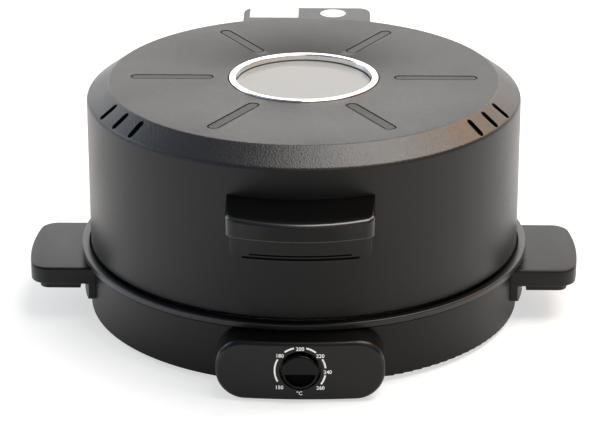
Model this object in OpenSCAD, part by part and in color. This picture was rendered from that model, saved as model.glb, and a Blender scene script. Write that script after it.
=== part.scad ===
// Electric pizza maker: a low round base with a control panel and two side handles,
// and a tall round lid with a window, hinged at the back. Millimetres, +Z up.
// The origin is on the floor, on the axis of the round base; the front faces -Y.

/* [Heights] */
// Gap between the floor and the lower edge of the base casing
floor_gap = 4; // [3:0.5:8]
// Height of the base casing wall
shell_h = 52; // [49:1:60]
// Height of the dark seam between the casing and its trim ring
seam_h = 1.5; // [1:0.25:3]
// Height of the trim ring
rim_h = 7; // [6:0.5:9]
// Height of the lid wall, up to the shoulder
lid_wall_h = 139.3; // [120:0.1:160]
// Height of the lid shoulder
shoulder_h = 14.6; // [12:0.2:20]
// Gap between the trim ring and the lid edge
lid_gap = 2; // [0.5:0.25:3]

/* [Base] */
// Outer radius of the base casing
shell_r = 201; // [195:0.5:202]
// Wall of the base casing
shell_t = 2.5; // [2:0.1:3]
// Outer radius of the trim ring
rim_r = 208.5; // [206:0.5:212]
// Radius of the rounded top edge of the trim ring
rim_edge_r = 4.5; // [2:0.5:5]
// Depth of the gutter inside the trim ring
gutter_depth = 3.5; // [2:0.5:4]
// Floor thickness of the gutter
gutter_t = 1.5; // [1:0.25:2]
// Inner radius of the trim ring
rim_inner_r = 188; // [186:0.5:190]
// Thickness of the sheet bottom cover
cover_t = 1.5; // [1:0.25:2]
// Height of the gap under the bottom cover's edge, inside the casing
cover_recess = 1.5; // [1:0.25:2]
// Width of the casing's inward bottom flange
flange_w = 18; // [16:1:22]
// Thickness of that flange
flange_t = 2.5; // [2:0.25:4]

/* [Feet and screws] */
// Radius of a rubber foot
foot_r = 13; // [9:0.5:14]
// Radius of a foot's stem
foot_stem_r = 4; // [3:0.25:5]
// Distance of the feet from the axis
foot_circle_r = 165; // [150:1:166]
// Azimuth of the feet away from the X axis
foot_azimuth = 50; // [40:1:55]
// Radius of a screw shank
screw_r = 1.6; // [1.3:0.1:1.8]
// Radius of a screw head
screw_head_r = 3.2; // [2.6:0.1:3.4]
// Thickness of a screw head
screw_head_t = 1.4; // [1:0.1:1.5]
// Clearance round a screw shank
screw_clear = 0.1; // [0.05:0.05:0.2]

/* [Control panel] */
// Width of the panel
panel_w = 148; // [136:1:160]
// How far the panel reaches below the casing
panel_drop = 0.5; // [0:0.1:1.5]
// Gap between the panel and the trim ring
panel_gap = 0.3; // [0.2:0.1:1]
// Corner radius of the panel outline
panel_corner_r = 24; // [16:0.5:25]
// Distance of the panel face from the axis
panel_reach = 230; // [228:0.5:238]
// Bow radius of the panel face, seen from above
panel_bow_r = 480; // [380:10:650]
// Rounding of the panel's front edge
panel_edge_r = 3.5; // [2:0.5:5]
// Wall of the panel housing
panel_t = 3; // [2.5:0.25:4]

/* [Knob and thermostat] */
// Radius of the knob at its base
knob_r = 16.2; // [15:0.1:17]
// Radius of the knob at its front
knob_front_r = 15.8; // [14.6:0.1:16.6]
// How far the knob stands out of the panel face
knob_out = 4; // [2.5:0.25:8]
// Radius of the round recess that the knob turns in
recess_r = 18.1; // [17.4:0.1:19.4]
// Depth of that recess
recess_depth = 8; // [7:0.25:9]
// Radius of the finger pocket in the knob's lower half
pocket_r = 13.6; // [12:0.1:14.2]
// Distance of the pocket's straight edge below the knob's axis
pocket_drop = 1.8; // [1:0.1:3]
// Depth of the finger pocket
pocket_depth = 4; // [3:0.25:4.5]
// Radius of the thermostat shaft
shaft_r = 3; // [2.5:0.25:3.5]
// Outer radius of the threaded bushing
bushing_r = 5; // [4.5:0.25:5.5]
// Running clearance of the shaft in its bushing
shaft_clear = 0.05; // [0.02:0.01:0.09]
// Width of the thermostat body
thermostat_w = 34; // [30:1:38]
// Depth of the thermostat body
thermostat_d = 26; // [22:1:30]

/* [Side handles] */
// Distance of the handles' outer edge from the axis
handle_reach = 257; // [250:1:262]
// Width of a side handle
handle_w = 114; // [104:1:120]
// Height of the top of a side handle over the floor
handle_top_z = 52; // [47:1:54]
// Thickness of a side handle
handle_t = 16; // [14:0.5:18]
// Plan corner radius of a side handle
handle_corner_r = 17; // [12:0.5:20]
// Rounding of a side handle's top edge
handle_edge_r = 2; // [1:0.25:3]
// Wall of a side handle
handle_wall = 3; // [2.5:0.25:4]
// How far the lower cover stays inside the handle's outline
handle_cover_inset = 8; // [5:0.5:8.5]
// Thickness of the lower cover
handle_cover_t = 7; // [5:0.5:8]
// Thickness of the mounting flange against the casing
handle_flange_t = 6; // [4:0.5:6.5]
// Height of the mounting flange's lower edge over the floor
handle_flange_z = 19; // [14:1:21]

/* [Lid] */
// Outer radius of the lid wall
lid_r = 200; // [194:0.5:201]
// Radius of the flat top of the lid
lid_flat_r = 179.6; // [172:0.2:182]
// Wall of the lid
lid_t = 3; // [2.5:0.1:3.5]
// Thickness of the lid's flat top
lid_top_t = 4; // [3.5:0.25:5]
// Rounding between the lid wall and the shoulder
shoulder_edge_r = 4; // [2:0.5:6]
// Number of grooves in the lid top
groove_count = 6; // [3:1:8]
// Distance of a groove's inner end from the axis
groove_r_in = 83; // [78:1:90]
// Distance of a groove's outer end from the axis
groove_r_out = 160; // [140:1:168]
// Width of a groove
groove_w = 12; // [8:0.5:14]
// Depth of a groove
groove_depth = 1.25; // [1:0.25:2.5]
// Width of a vent slot
vent_w = 5.6; // [4:0.2:7]
// Angle between neighbouring vent slots
vent_pitch = 8; // [6:0.5:9]
// Angle of the middle vent slot forward of the X axis
vent_angle = 30; // [27:1:36]

/* [Window] */
// Outer radius of the bright window ring
bezel_r = 69; // [67:0.2:71]
// Inner radius of the bright window ring
bezel_inner_r = 62.4; // [60:0.2:63]
// How far the ring stands above the lid top
bezel_rise = 1.8; // [1.2:0.1:2.5]
// Wall of the ring's sleeve
bezel_sleeve_t = 1.6; // [1.2:0.1:2]
// Thickness of the window glass
glass_t = 4; // [3:0.5:5]
// Wall of the silicone seal round the glass
seal_t = 1; // [0.8:0.1:1.5]
// Width of the seal on the glass
seal_lap = 8; // [6:0.5:9]
// Thickness of the sheet clamping ring
clamp_t = 1.5; // [1:0.25:2]

/* [Liner and elements] */
// Outer radius of the liner wall
liner_r = 187; // [184:0.5:188]
// Sheet thickness of the liner and the reflector
sheet_t = 0.8; // [0.6:0.1:1]
// Height of the liner's flange above the lid edge
liner_flange_up = 9; // [7:0.5:14]
// Tube radius of the heating elements
tube_r = 3.25; // [3:0.25:4]
// Ring radius of the lower element
lower_ring_r = 125; // [110:1:135]
// Ring radius of the upper element
upper_ring_r = 118; // [100:1:130]
// Gap between the upper element's insulators and the liner's shoulder above them
upper_gap = 1; // [0.5:0.5:8]
// Distance of an element's leg from the middle plane
leg_x = 18; // [14:1:20]
// Bend radius of an element's leg
bend_r = 12; // [9:1:14]

/* [Baking plate] */
// Outer radius of the baking plate
plate_r = 182; // [180:0.5:186.5]
// Inner radius of the baking surface
plate_floor_r = 167; // [160:1:172]
// Thickness of the baking plate
plate_t = 3; // [2:0.25:4]
// Depth of the baking surface below the plate's edge
plate_depth = 9; // [7:0.5:10]
// Height of the upturned lip round the plate's edge
plate_lip_h = 3; // [2:0.5:4]

/* [Lid handle] */
// Width of the handle grip
grip_w = 128; // [118:1:140]
// Distance of the grip's front from the axis
grip_reach = 247; // [240:1:252]
// Bow radius of the grip's front, seen from above
grip_bow_r = 155; // [140:1:170]
// Height of the grip's top at the lid wall, over the lid edge
grip_up = 111.3; // [95:0.1:116]
// Fall of the grip's top from the wall to the front
grip_fall = 5; // [2:0.5:8]
// Height of the grip's front face
grip_face_h = 16; // [13:0.5:18]
// Plan corner radius of the grip
grip_corner_r = 10; // [7:0.5:14]
// Rounding of the grip's top edge
grip_edge_r = 2.5; // [1.5:0.25:3.5]
// Wall of the hollow grip
grip_t = 4; // [3:0.25:5]
// Width of the plate behind the grip
backplate_w = 123; // [112:1:126]
// Height of the plate below the grip
backplate_h = 44; // [34:1:50]
// Thickness of the plate behind the grip
backplate_t = 3.5; // [3:0.25:4.5]
// Corner radius of that plate
backplate_corner_r = 9; // [6:0.5:12]

/* [Rear box and hinge] */
// Width of the rear box
box_w = 127; // [118:1:134]
// Height of the rear box's top below the lid top
box_drop = 10.2; // [9:0.2:18]
// Height of the rear box's lower edge above the lid edge
box_up = 4.2; // [3.5:0.1:8]
// Corner radius of the rear box in plan
box_corner_r = 12; // [8:0.5:16]
// Rounding of the rear box's top edge
box_edge_r = 3.5; // [2:0.5:5]
// Wall of the rear box
box_t = 3; // [2.5:0.25:4]
// Gap between the hinge eyes and the box's rear wall
box_gap = 6.5; // [4:0.5:10]
// Height of the hinge arms' plate above the box's lower edge
arm_h = 90; // [70:1:110]
// Thickness of the cover in the box's bottom
box_cover_t = 2.5; // [2:0.25:3.5]
// Distance of the hinge axis behind the casing
hinge_out = 24; // [22:0.5:26]
// Height of the hinge axis over the floor
hinge_z = 44; // [41:0.5:46]
// Radius of the hinge pin
pin_r = 4; // [3:0.25:5]
// Running clearance of the pin in its bores
pin_clear = 0.05; // [0.02:0.01:0.09]
// Radius of the hinge eyes
eye_r = 12.5; // [10:0.5:14]
// Width of one hinge eye
eye_w = 10; // [8:0.5:12]
// Side gap between a base eye and a lid eye
eye_gap = 1; // [0.5:0.25:2]
// Distance of the lid eyes' inner sides from the middle plane
eye_x = 20; // [16:1:24]
// Thickness of the curved hinge plates
hinge_plate_t = 4; // [3:0.5:5]
// Radius of the cord passage in the inlet
cord_r = 3.6; // [3:0.1:4]
// Azimuth of the cord inlet from the X axis
inlet_azimuth = 118; // [114:1:130]

/* [Hidden] */
shell_z = floor_gap;
shell_top = shell_z + shell_h;
rim_z = shell_top + seam_h;
rim_top = rim_z + rim_h;
lid_z = rim_top + lid_gap;
lid_wall_top = lid_z + lid_wall_h;
lid_top = lid_wall_top + shoulder_h;
lid_in_top = lid_top - lid_top_t;
in_r = shell_r - shell_t;
neck_gap = 0.2;
neck_r = in_r + neck_gap;
gutter_r = lid_r + 1.5;
gutter_z = rim_top - gutter_depth;
seat = 0.05;
cover_z = shell_z + cover_recess;
flange_z = cover_z + cover_t;
screw_circle_r = shell_r - shell_t - flange_w / 2 - 2;
panel_z = shell_z - panel_drop;
panel_h = rim_z - panel_gap - panel_z;
panel_mid_z = panel_z + panel_h / 2;
recess_y = panel_reach - recess_depth;
boss_t = 4;
thermo_y = recess_y - boss_t;
knob_gap = 0.6;
knob_tip_y = panel_reach + knob_out;
nut_r = 8;
nut_t = 3;
pad_r = 6;
liner_top = lid_in_top - glass_t - 2 * seal_t - clamp_t;
liner_flange_z = lid_z + liner_flange_up;
liner_pad_t = 3;
liner_shoulder_r = lid_flat_r - 12;
liner_shoulder_z = liner_top - shoulder_h;
insulator_r = 5.5;
insulator_flange_r = insulator_r + 2;
upper_z = liner_shoulder_z - insulator_flange_r - upper_gap;
reflector_flange_z = gutter_z;
reflector_r = plate_floor_r + 9;
pan_gap = 0.3;
plate_edge_z = reflector_flange_z + sheet_t + pan_gap;
plate_bottom_z = plate_edge_z + plate_t - plate_depth - plate_t;
lower_z = plate_bottom_z - tube_r - pan_gap;
insulator_gap = 0.5;
reflector_floor_z = lower_z - insulator_flange_r - insulator_gap;
grip_top = lid_z + grip_up;
grip_bottom = grip_top - grip_fall - grip_face_h;
box_top = lid_top - box_drop;
box_z = lid_z + box_up;
hinge_y = shell_r + hinge_out;
box_reach = hinge_y + eye_r + box_gap + box_t;
base_eye_x = eye_x + eye_w + eye_gap;
arm_top = box_z + arm_h;
$fn = 128;

// Points on an arc from angle a0 to a1, with both ends
function arc(cx, cy, r, a0, a1, steps) = [
    for (i = [0 : steps]) let (a = a0 + (a1 - a0) * i / steps) [cx + r * cos(a), cy + r * sin(a)]
];

// Outline that points to +X: a bowed front at a distance of reach, round corners, straight sides
function bowed_points(reach, bow_r, half_w, r, back) =
    let (
        ox = reach - bow_r,
        cy = half_w - r,
        cx = ox + sqrt((bow_r - r) * (bow_r - r) - cy * cy),
        turn = atan2(cy, cx - ox),
        front = arc(ox, 0, bow_r, -turn, turn, 16)
    )
    concat(
        [[back, -half_w]],
        arc(cx, -cy, r, -90, -turn, 10),
        [for (i = [1 : 15]) front[i]],
        arc(cx, cy, r, turn, 90, 10),
        [[back, half_w]]
    );

// A solid through rings of as many points each, from the lowest ring to the highest
module loft(rings) {
    n = len(rings[0]);
    last = len(rings) - 1;
    polyhedron(
        points = [for (ring = rings) each ring],
        faces = concat(
            [[for (i = [0 : n - 1]) i]],
            [for (k = [0 : last - 1], i = [0 : n - 1]) [k * n + i, (k + 1) * n + i, k * n + (i + 1) % n]],
            [for (k = [0 : last - 1], i = [0 : n - 1])
                [k * n + (i + 1) % n, (k + 1) * n + i, (k + 1) * n + (i + 1) % n]],
            [[for (i = [n - 1 : -1 : 0]) last * n + i]]
        )
    );
}

// Inset and rise of each ring that rounds an upper edge of radius r, lowest first
function edge_steps(r) = [for (a = [0 : 22.5 : 90]) [r * (1 - cos(a)), r * sin(a)]];

// A rounded rectangle, centred
module rounded_rect(w, h, r) {
    square([w - 2 * r, h], center = true);
    square([w, h - 2 * r], center = true);
    for (x = [-1, 1], y = [-1, 1]) {
        translate([x * (w / 2 - r), y * (h / 2 - r)]) circle(r, $fn = 64);
    }
}

// A straight slot with round ends along X, from x0 to x1
module slot(x0, x1, w) {
    translate([x0 + w / 2, 0]) circle(w / 2, $fn = 32);
    translate([x1 - w / 2, 0]) circle(w / 2, $fn = 32);
    translate([x0 + w / 2, -w / 2]) square([x1 - x0 - w, w]);
}

// A tube about Z between two radii and two heights
module tube(r_out, r_in, z0, z1) {
    translate([0, 0, z0]) difference() {
        cylinder(r = r_out, h = z1 - z0);
        translate([0, 0, -1]) cylinder(r = r_in, h = z1 - z0 + 2);
    }
}

// Children drawn in the XY plane, extruded towards -Y from y0 to y1 (positive distances)
module forward(y0, y1) {
    translate([0, -y0, 0]) rotate([90, 0, 0]) linear_extrude(y1 - y0) children();
}

// A cylinder that points to the front, from distance y0 to y1, at x and z
module front_cylinder(r, x, z, y0, y1, sides = 48) {
    translate([x, -y0, z]) rotate([90, 0, 0]) cylinder(r = r, h = y1 - y0, $fn = sides);
}

// A screw along -Z with its head's upper face at the origin
module screw(length) {
    translate([0, 0, -screw_head_t]) cylinder(r = screw_head_r, h = screw_head_t, $fn = 32);
    translate([0, 0, -screw_head_t - length]) cylinder(r = screw_r, h = length + seat, $fn = 32);
}

// The hole that a screw passes through, centred on the origin
module screw_hole(length) {
    cylinder(r = screw_r + screw_clear, h = length, center = true, $fn = 32);
}

// Places of the screws that point to the front, behind the control panel
panel_screw_x = panel_w / 2 - panel_t - 12;
panel_seat_y = 180;
module at_panel_screws() {
    for (x = [-1, 1], z = [-1, 1]) {
        translate([x * panel_screw_x, 0, panel_mid_z + z * (panel_h / 2 - panel_t - 8)]) children();
    }
}

// Places of the screws of the side handles, on the right
handle_screw_z = handle_flange_z + 9;
handle_seat_x = 188;
module at_handle_screws() {
    for (y = [-1, 1]) {
        translate([0, y * (handle_w / 2 - 18), handle_screw_z]) children();
    }
}

// Places of the screws of the hinge bracket, at the back
bracket_w = 108;
bracket_z = hinge_z - 22;
bracket_top = shell_top - 3;
bracket_seat_y = 190;
module at_bracket_screws() {
    for (x = [-1, 1], z = [bracket_z + 8, bracket_top - 5]) {
        translate([x * (bracket_w / 2 - 5), 0, z]) children();
    }
}

module base_shell_profile() {
    translate([in_r, shell_z + shell_t / 2]) square([shell_t, shell_h - shell_t / 2]);
    translate([in_r + shell_t / 2, shell_z + shell_t / 2]) circle(shell_t / 2, $fn = 32);
    translate([in_r - flange_w, flange_z]) square([flange_w + shell_t / 2, flange_t]);
    translate([in_r - shell_t, shell_top - 2 * shell_t])
        square([2 * shell_t, 2 * shell_t]);
    translate([in_r - shell_t, shell_top - seat])
        square([shell_t, gutter_z - gutter_t - shell_top + seat]);
}

// Pads inside the wall that give the screw heads a flat seat
module shell_pads() {
    intersection() {
        cylinder(r = in_r + shell_t / 2, h = shell_top);
        union() {
            at_panel_screws() front_cylinder(pad_r, 0, 0, panel_seat_y, shell_r);
            for (side = [0, 180]) rotate([0, 0, side]) at_handle_screws()
                translate([handle_seat_x, 0, 0]) rotate([0, 90, 0]) cylinder(r = pad_r, h = 20, $fn = 48);
            at_bracket_screws() translate([0, bracket_seat_y, 0]) rotate([-90, 0, 0])
                cylinder(r = pad_r, h = 20, $fn = 48);
        }
    }
}

module base_shell() {
    color("#2c2b2a") difference() {
        union() {
            rotate_extrude($fn = 180) base_shell_profile();
            shell_pads();
        }
        at_panel_screws() front_cylinder(screw_r + screw_clear, 0, 0, panel_seat_y - 20, shell_r + 2, 32);
        forward(panel_seat_y - 10, shell_r + 5) translate([0, panel_mid_z])
            rounded_rect(thermostat_w + 12, thermostat_w - 2, 6);
        for (side = [0, 180]) rotate([0, 0, side]) at_handle_screws()
            translate([shell_r - 8, 0, 0]) rotate([0, 90, 0]) screw_hole(50);
        at_bracket_screws() translate([0, shell_r - 8, 0]) rotate([90, 0, 0]) screw_hole(50);
        at_bottom_screws() translate([0, 0, flange_z]) screw_hole(12);
        at_inlet() cylinder(r = gland_r + screw_clear, h = 40, center = true, $fn = 64);
    }
}

module base_rim_profile() {
    difference() {
        union() {
            translate([neck_r, rim_z]) square([rim_r - neck_r - rim_edge_r, rim_h]);
            translate([neck_r, rim_z]) square([rim_r - neck_r, rim_h - rim_edge_r]);
            translate([rim_r - rim_edge_r, rim_top - rim_edge_r]) circle(rim_edge_r, $fn = 64);
            translate([rim_inner_r, gutter_z - gutter_t]) square([rim_r - rim_edge_r - rim_inner_r, gutter_t]);
        }
        translate([neck_r - 20, gutter_z]) square([gutter_r - neck_r + 20, gutter_depth + 1]);
        translate([neck_r - 20, 0]) square([20, gutter_z - gutter_t]);
        square([rim_r + 1, rim_z]);
    }
}

module base_rim() {
    color("#333231") rotate_extrude($fn = 180) base_rim_profile();
}

// The bottom cover's screws sit under the casing's flange
bottom_screw_count = 6;
module at_bottom_screws() {
    for (i = [0 : bottom_screw_count - 1]) {
        rotate([0, 0, 360 / bottom_screw_count * (i + 0.5)]) translate([screw_circle_r, 0, 0]) children();
    }
}

module at_feet() {
    for (a = [foot_azimuth, 180 - foot_azimuth, 180 + foot_azimuth, -foot_azimuth]) {
        rotate([0, 0, a]) translate([foot_circle_r, 0, 0]) children();
    }
}

// Rows of vent slots in the bottom cover
bottom_vent_count = 7;
module bottom_cover() {
    color("#8d8f90") difference() {
        translate([0, 0, cover_z]) cylinder(r = in_r - 0.5, h = cover_t, $fn = 180);
        at_bottom_screws() translate([0, 0, cover_z]) screw_hole(12);
        at_feet() translate([0, 0, cover_z - 1]) cylinder(r = foot_stem_r + screw_clear, h = 10, $fn = 48);
        for (side = [-1, 1], i = [0 : bottom_vent_count - 1]) {
            translate([side * 62, (i - (bottom_vent_count - 1) / 2) * 14, cover_z - 1])
                linear_extrude(cover_t + 2) slot(-26, 26, 4);
        }
    }
}

module bottom_screws() {
    color("#a9abac") at_bottom_screws() translate([0, 0, cover_z]) rotate([180, 0, 0])
        translate([0, 0, screw_head_t]) screw(cover_t + flange_t + 2);
}

module rubber_feet() {
    chamfer = 1.5;
    color("#1d1d1d") at_feet() rotate_extrude($fn = 64) {
        polygon([
            [0, 0], [foot_r - chamfer, 0], [foot_r, chamfer], [foot_r - chamfer / 2, cover_z],
            [foot_stem_r, cover_z], [foot_stem_r, cover_z + cover_t + 3], [0, cover_z + cover_t + 3]
        ]);
    }
}

// The convex block of the panel: face bowed about a vertical axis, front edge rounded
module panel_slice(inset, back) {
    intersection() {
        forward(panel_seat_y, panel_reach) translate([0, panel_mid_z])
            rounded_rect(panel_w - 2 * inset, panel_h - 2 * inset, panel_corner_r - inset);
        translate([0, panel_bow_r - panel_reach, -1])
            cylinder(r = panel_bow_r - back, h = panel_h + 20, $fn = 256);
    }
}

module panel_solid() {
    hull() {
        panel_slice(panel_edge_r, 0);
        panel_slice(panel_edge_r * 0.6, panel_edge_r * 0.08);
        panel_slice(panel_edge_r * 0.29, panel_edge_r * 0.29);
        panel_slice(panel_edge_r * 0.08, panel_edge_r * 0.6);
        panel_slice(0, panel_edge_r);
    }
}

module control_panel() {
    color("#2b2b2b") difference() {
        panel_solid();
        difference() {
            intersection() {
                forward(panel_seat_y - 1, panel_reach) translate([0, panel_mid_z])
                    rounded_rect(panel_w - 2 * panel_t, panel_h - 2 * panel_t, panel_corner_r - panel_t);
                translate([0, panel_bow_r - panel_reach, -1])
                    cylinder(r = panel_bow_r - panel_t, h = panel_h + 20, $fn = 256);
            }
            front_cylinder(recess_r + 3, 0, panel_mid_z, thermo_y, panel_reach);
            at_panel_screws() front_cylinder(5, 0, 0, 150, panel_reach);
        }
        cylinder(r = shell_r + seat, h = lid_z, $fn = 180);
        front_cylinder(recess_r, 0, panel_mid_z, recess_y, panel_reach + 1, 96);
        front_cylinder(bushing_r + screw_clear, 0, panel_mid_z, thermo_y - 1, panel_reach);
        at_panel_screws() front_cylinder(screw_r + screw_clear, 0, 0, 150, panel_reach - 14, 32);
    }
}

module panel_screws() {
    color("#a9abac") at_panel_screws() translate([0, -panel_seat_y, 0]) rotate([-90, 0, 0])
        translate([0, 0, screw_head_t]) screw(panel_reach - 16 - panel_seat_y);
}

// Thermostat with its threaded bushing; the rest hangs behind the panel face
module thermostat() {
    body_h = thermostat_w - 6;
    color("#c9c4b4") difference() {
        union() {
            forward(thermo_y - thermostat_d, thermo_y) translate([0, panel_mid_z])
                rounded_rect(thermostat_w, body_h, 3);
            front_cylinder(bushing_r, 0, panel_mid_z, thermo_y - 1, recess_y + nut_t + 1);
            for (x = [-1, 1]) translate([x * thermostat_w / 4, -(thermo_y - thermostat_d) + 4, panel_mid_z])
                cube([6, 10, 0.8], center = true);
        }
        front_cylinder(shaft_r + shaft_clear, 0, panel_mid_z, thermo_y - 12, panel_reach + 10);
    }
}

module thermostat_nut() {
    color("#c8c8c6") difference() {
        front_cylinder(nut_r, 0, panel_mid_z, recess_y, recess_y + nut_t, 6);
        front_cylinder(bushing_r + screw_clear, 0, panel_mid_z, recess_y - 1, recess_y + nut_t + 1);
    }
}

// Sensing bulb of the thermostat, held under the plate by two legs
bulb_r = 3;
bulb_length = 60;
bulb_y = lower_ring_r / 2;
module sensing_bulb() {
    bulb_z = reflector_floor_z + 7;
    color("#b97a4a") {
        translate([-bulb_length / 2, -bulb_y, bulb_z]) rotate([0, 90, 0])
            cylinder(r = bulb_r, h = bulb_length, $fn = 48);
        for (x = [-1, 1]) translate([x * bulb_length / 3 - 1, -bulb_y - 1, reflector_floor_z]) cube([2, 2, 5]);
    }
}

module reflector_profile() {
    translate([reflector_r, reflector_flange_z]) square([rim_inner_r + 5 - reflector_r, sheet_t]);
    translate([reflector_r, reflector_floor_z - sheet_t])
        square([sheet_t, reflector_flange_z - reflector_floor_z + 2 * sheet_t]);
    translate([0, reflector_floor_z - sheet_t]) square([reflector_r + sheet_t, sheet_t]);
}

// Pressed steel dish under the lower element, hanging on the trim ring
module reflector() {
    color("#b6b8b8") difference() {
        rotate_extrude($fn = 180) reflector_profile();
        for (x = [-1, 1]) front_cylinder(insulator_r + screw_clear, x * leg_x, lower_z, 150, shell_r);
    }
}

bend_lap = 2;
// One open ring of tube with its two legs bent outwards, pointing to -Y
module heating_element(ring_r, leg_end) {
    turn_x = leg_x + bend_r;
    turn_y = sqrt((ring_r + bend_r) * (ring_r + bend_r) - turn_x * turn_x);
    open_angle = atan2(turn_x, turn_y);
    rotate([0, 0, -90 + open_angle]) rotate_extrude(angle = 360 - 2 * open_angle, $fn = 120)
        translate([ring_r, 0]) circle(tube_r, $fn = 32);
    // The bends are a little thinner and run a few degrees into the ring and the legs
    for (side = [0, 1]) mirror([side, 0, 0]) {
        translate([turn_x, -turn_y, 0]) rotate([0, 0, 90 + open_angle - bend_lap])
            rotate_extrude(angle = 90 - open_angle + 2 * bend_lap, $fn = 64) translate([bend_r, 0])
                circle(tube_r - 0.15, $fn = 32);
        translate([leg_x, -turn_y, 0]) rotate([90, 0, 0])
            cylinder(r = tube_r, h = leg_end - turn_y, $fn = 32);
    }
}

module lower_element() {
    color("#4c4a48") translate([0, 0, lower_z]) heating_element(lower_ring_r, reflector_r + 10);
}

clip_w = 8;
// Cradles that hold the lower element above the reflector
module lower_clips() {
    color("#b6b8b8") difference() {
        for (a = [30, 150, 240, 300]) rotate([0, 0, a])
            translate([lower_ring_r - tube_r - 2, -clip_w / 2, reflector_floor_z])
                cube([2 * tube_r + 4, clip_w, lower_z - reflector_floor_z]);
        translate([0, 0, lower_z]) rotate_extrude($fn = 120) translate([lower_ring_r, 0])
            circle(tube_r + seat, $fn = 32);
    }
}

insulator_length = 10;
// Ceramic collar round an element's leg, pointing to -Y from distance y0
module insulator(x, z, y0) {
    difference() {
        union() {
            front_cylinder(insulator_r, x, z, y0, y0 + insulator_length);
            front_cylinder(insulator_flange_r, x, z, y0 - 2, y0);
        }
        front_cylinder(tube_r + seat, x, z, y0 - 3, y0 + insulator_length + 1);
    }
}

// The wall bends away from the leg, so the collar's flange is seated where the wall is nearest
module lower_insulators() {
    y0 = sqrt(reflector_r * reflector_r - pow(leg_x + insulator_flange_r, 2));
    color("#e6e2d8") for (x = [-1, 1]) insulator(x * leg_x, lower_z, y0);
}

block_w = 42;
block_d = 18;
block_h = 12;
// Three-way terminal block on the bottom cover, near the cord inlet
module terminal_block() {
    color("#e9e7df") translate([-40, 130, flange_z]) difference() {
        translate([-block_w / 2, -block_d / 2, 0]) cube([block_w, block_d, block_h]);
        for (x = [-1, 0, 1]) translate([x * block_w / 3, 0, 0]) {
            translate([0, 0, block_h / 2]) rotate([90, 0, 0]) cylinder(r = 2, h = 30, center = true, $fn = 32);
            translate([0, 0, block_h / 2]) cylinder(r = 1.8, h = block_h, $fn = 32);
        }
    }
}

// Plan outline of a right side handle: outer edge concentric with the base
function handle_points(inset, back) = bowed_points(
    handle_reach - inset, handle_reach - inset, handle_w / 2 - inset, handle_corner_r - inset, back
);

function handle_ring(inset, z) = [for (p = handle_points(inset, shell_r - 30)) [p.x, p.y, z]];

module handle_outline(inset, back) {
    polygon(handle_points(inset, back));
}

// The flange against the base, seen from the side: round lower corners, square upper ones
module flange_outline(half_w, z0, z1) {
    r = 6;
    polygon(concat(
        [[-half_w, z1]],
        arc(r - half_w, z0 + r, r, 180, 270, 6),
        arc(half_w - r, z0 + r, r, 270, 360, 6),
        [[half_w, z1]]
    ));
}

module side_handle() {
    difference() {
        union() {
            loft(concat(
                [handle_ring(0, handle_top_z - handle_t)],
                [for (e = edge_steps(handle_edge_r)) handle_ring(e[0], handle_top_z - handle_edge_r + e[1])]
            ));
            intersection() {
                cylinder(r = shell_r + handle_flange_t, h = shell_top, $fn = 180);
                translate([shell_r, 0, 0]) rotate([90, 0, 90]) linear_extrude(80, center = true)
                    flange_outline(handle_w / 2 - 0.2, handle_flange_z, handle_top_z - handle_t / 3);
            }
        }
        cylinder(r = shell_r + seat, h = shell_top, $fn = 180);
        translate([0, 0, handle_top_z - handle_t - 1]) linear_extrude(handle_t + 1 - handle_wall)
            handle_outline(handle_cover_inset + handle_wall, shell_r + handle_flange_t + 2);
        at_handle_screws() translate([shell_r, 0, 0]) rotate([0, 90, 0]) screw_hole(10);
    }
}

module left_handle() {
    color("#3a3938") mirror([1, 0, 0]) side_handle();
}

module right_handle() {
    color("#3a3938") side_handle();
}

// The cover closes the handle from below and has a plug that fits its hollow
module handle_cover() {
    z = handle_top_z - handle_t;
    plug_gap = 0.3;
    plug_h = 3;
    translate([0, 0, z - handle_cover_t]) linear_extrude(handle_cover_t)
        handle_outline(handle_cover_inset, shell_r + handle_flange_t + 0.5);
    translate([0, 0, z - seat]) linear_extrude(plug_h)
        handle_outline(handle_cover_inset + handle_wall + plug_gap, shell_r + handle_flange_t + 2 + plug_gap);
}

module left_handle_cover() {
    color("#232323") mirror([1, 0, 0]) handle_cover();
}

module right_handle_cover() {
    color("#232323") handle_cover();
}

module handle_screws() {
    color("#a9abac") for (side = [0, 180]) rotate([0, 0, side]) at_handle_screws()
        translate([handle_seat_x - screw_head_t, 0, 0]) rotate([0, -90, 0])
            screw(shell_r + 3 - handle_seat_x);
}

// Side view of one hinge eye with its arm, in the YZ plane, as drawn in (y, z)
module eye_profile(from_y, z0, z1) {
    translate([hinge_y, hinge_z]) circle(eye_r, $fn = 96);
    translate([from_y, z0]) square([hinge_y - from_y, z1 - z0]);
}

// Extrudes an (y, z) outline along X from x0 to x1
module across(x0, x1) {
    translate([x0, 0, 0]) rotate([90, 0, 90]) linear_extrude(x1 - x0) children();
}

module hinge_bracket() {
    color("#343332") difference() {
        union() {
            intersection() {
                cylinder(r = shell_r + hinge_plate_t, h = shell_top, $fn = 180);
                translate([0, shell_r, (bracket_z + bracket_top) / 2]) rotate([90, 0, 0])
                    linear_extrude(60, center = true)
                    rounded_rect(bracket_w, bracket_top - bracket_z, 5);
            }
            for (side = [0, 1]) mirror([side, 0, 0]) across(base_eye_x, base_eye_x + eye_w)
                eye_profile(shell_r - 20, hinge_z - eye_r, hinge_z + eye_r - 2);
        }
        cylinder(r = shell_r + seat, h = shell_top, $fn = 180);
        translate([0, hinge_y, hinge_z]) rotate([0, 90, 0])
            cylinder(r = pin_r + pin_clear, h = box_w, center = true, $fn = 64);
        at_bracket_screws() translate([0, shell_r, 0]) rotate([90, 0, 0]) screw_hole(30);
    }
}

module hinge_bracket_screws() {
    color("#a9abac") at_bracket_screws() translate([0, bracket_seat_y - screw_head_t, 0]) rotate([90, 0, 0])
        screw(shell_r + 1 - bracket_seat_y);
}

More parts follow.
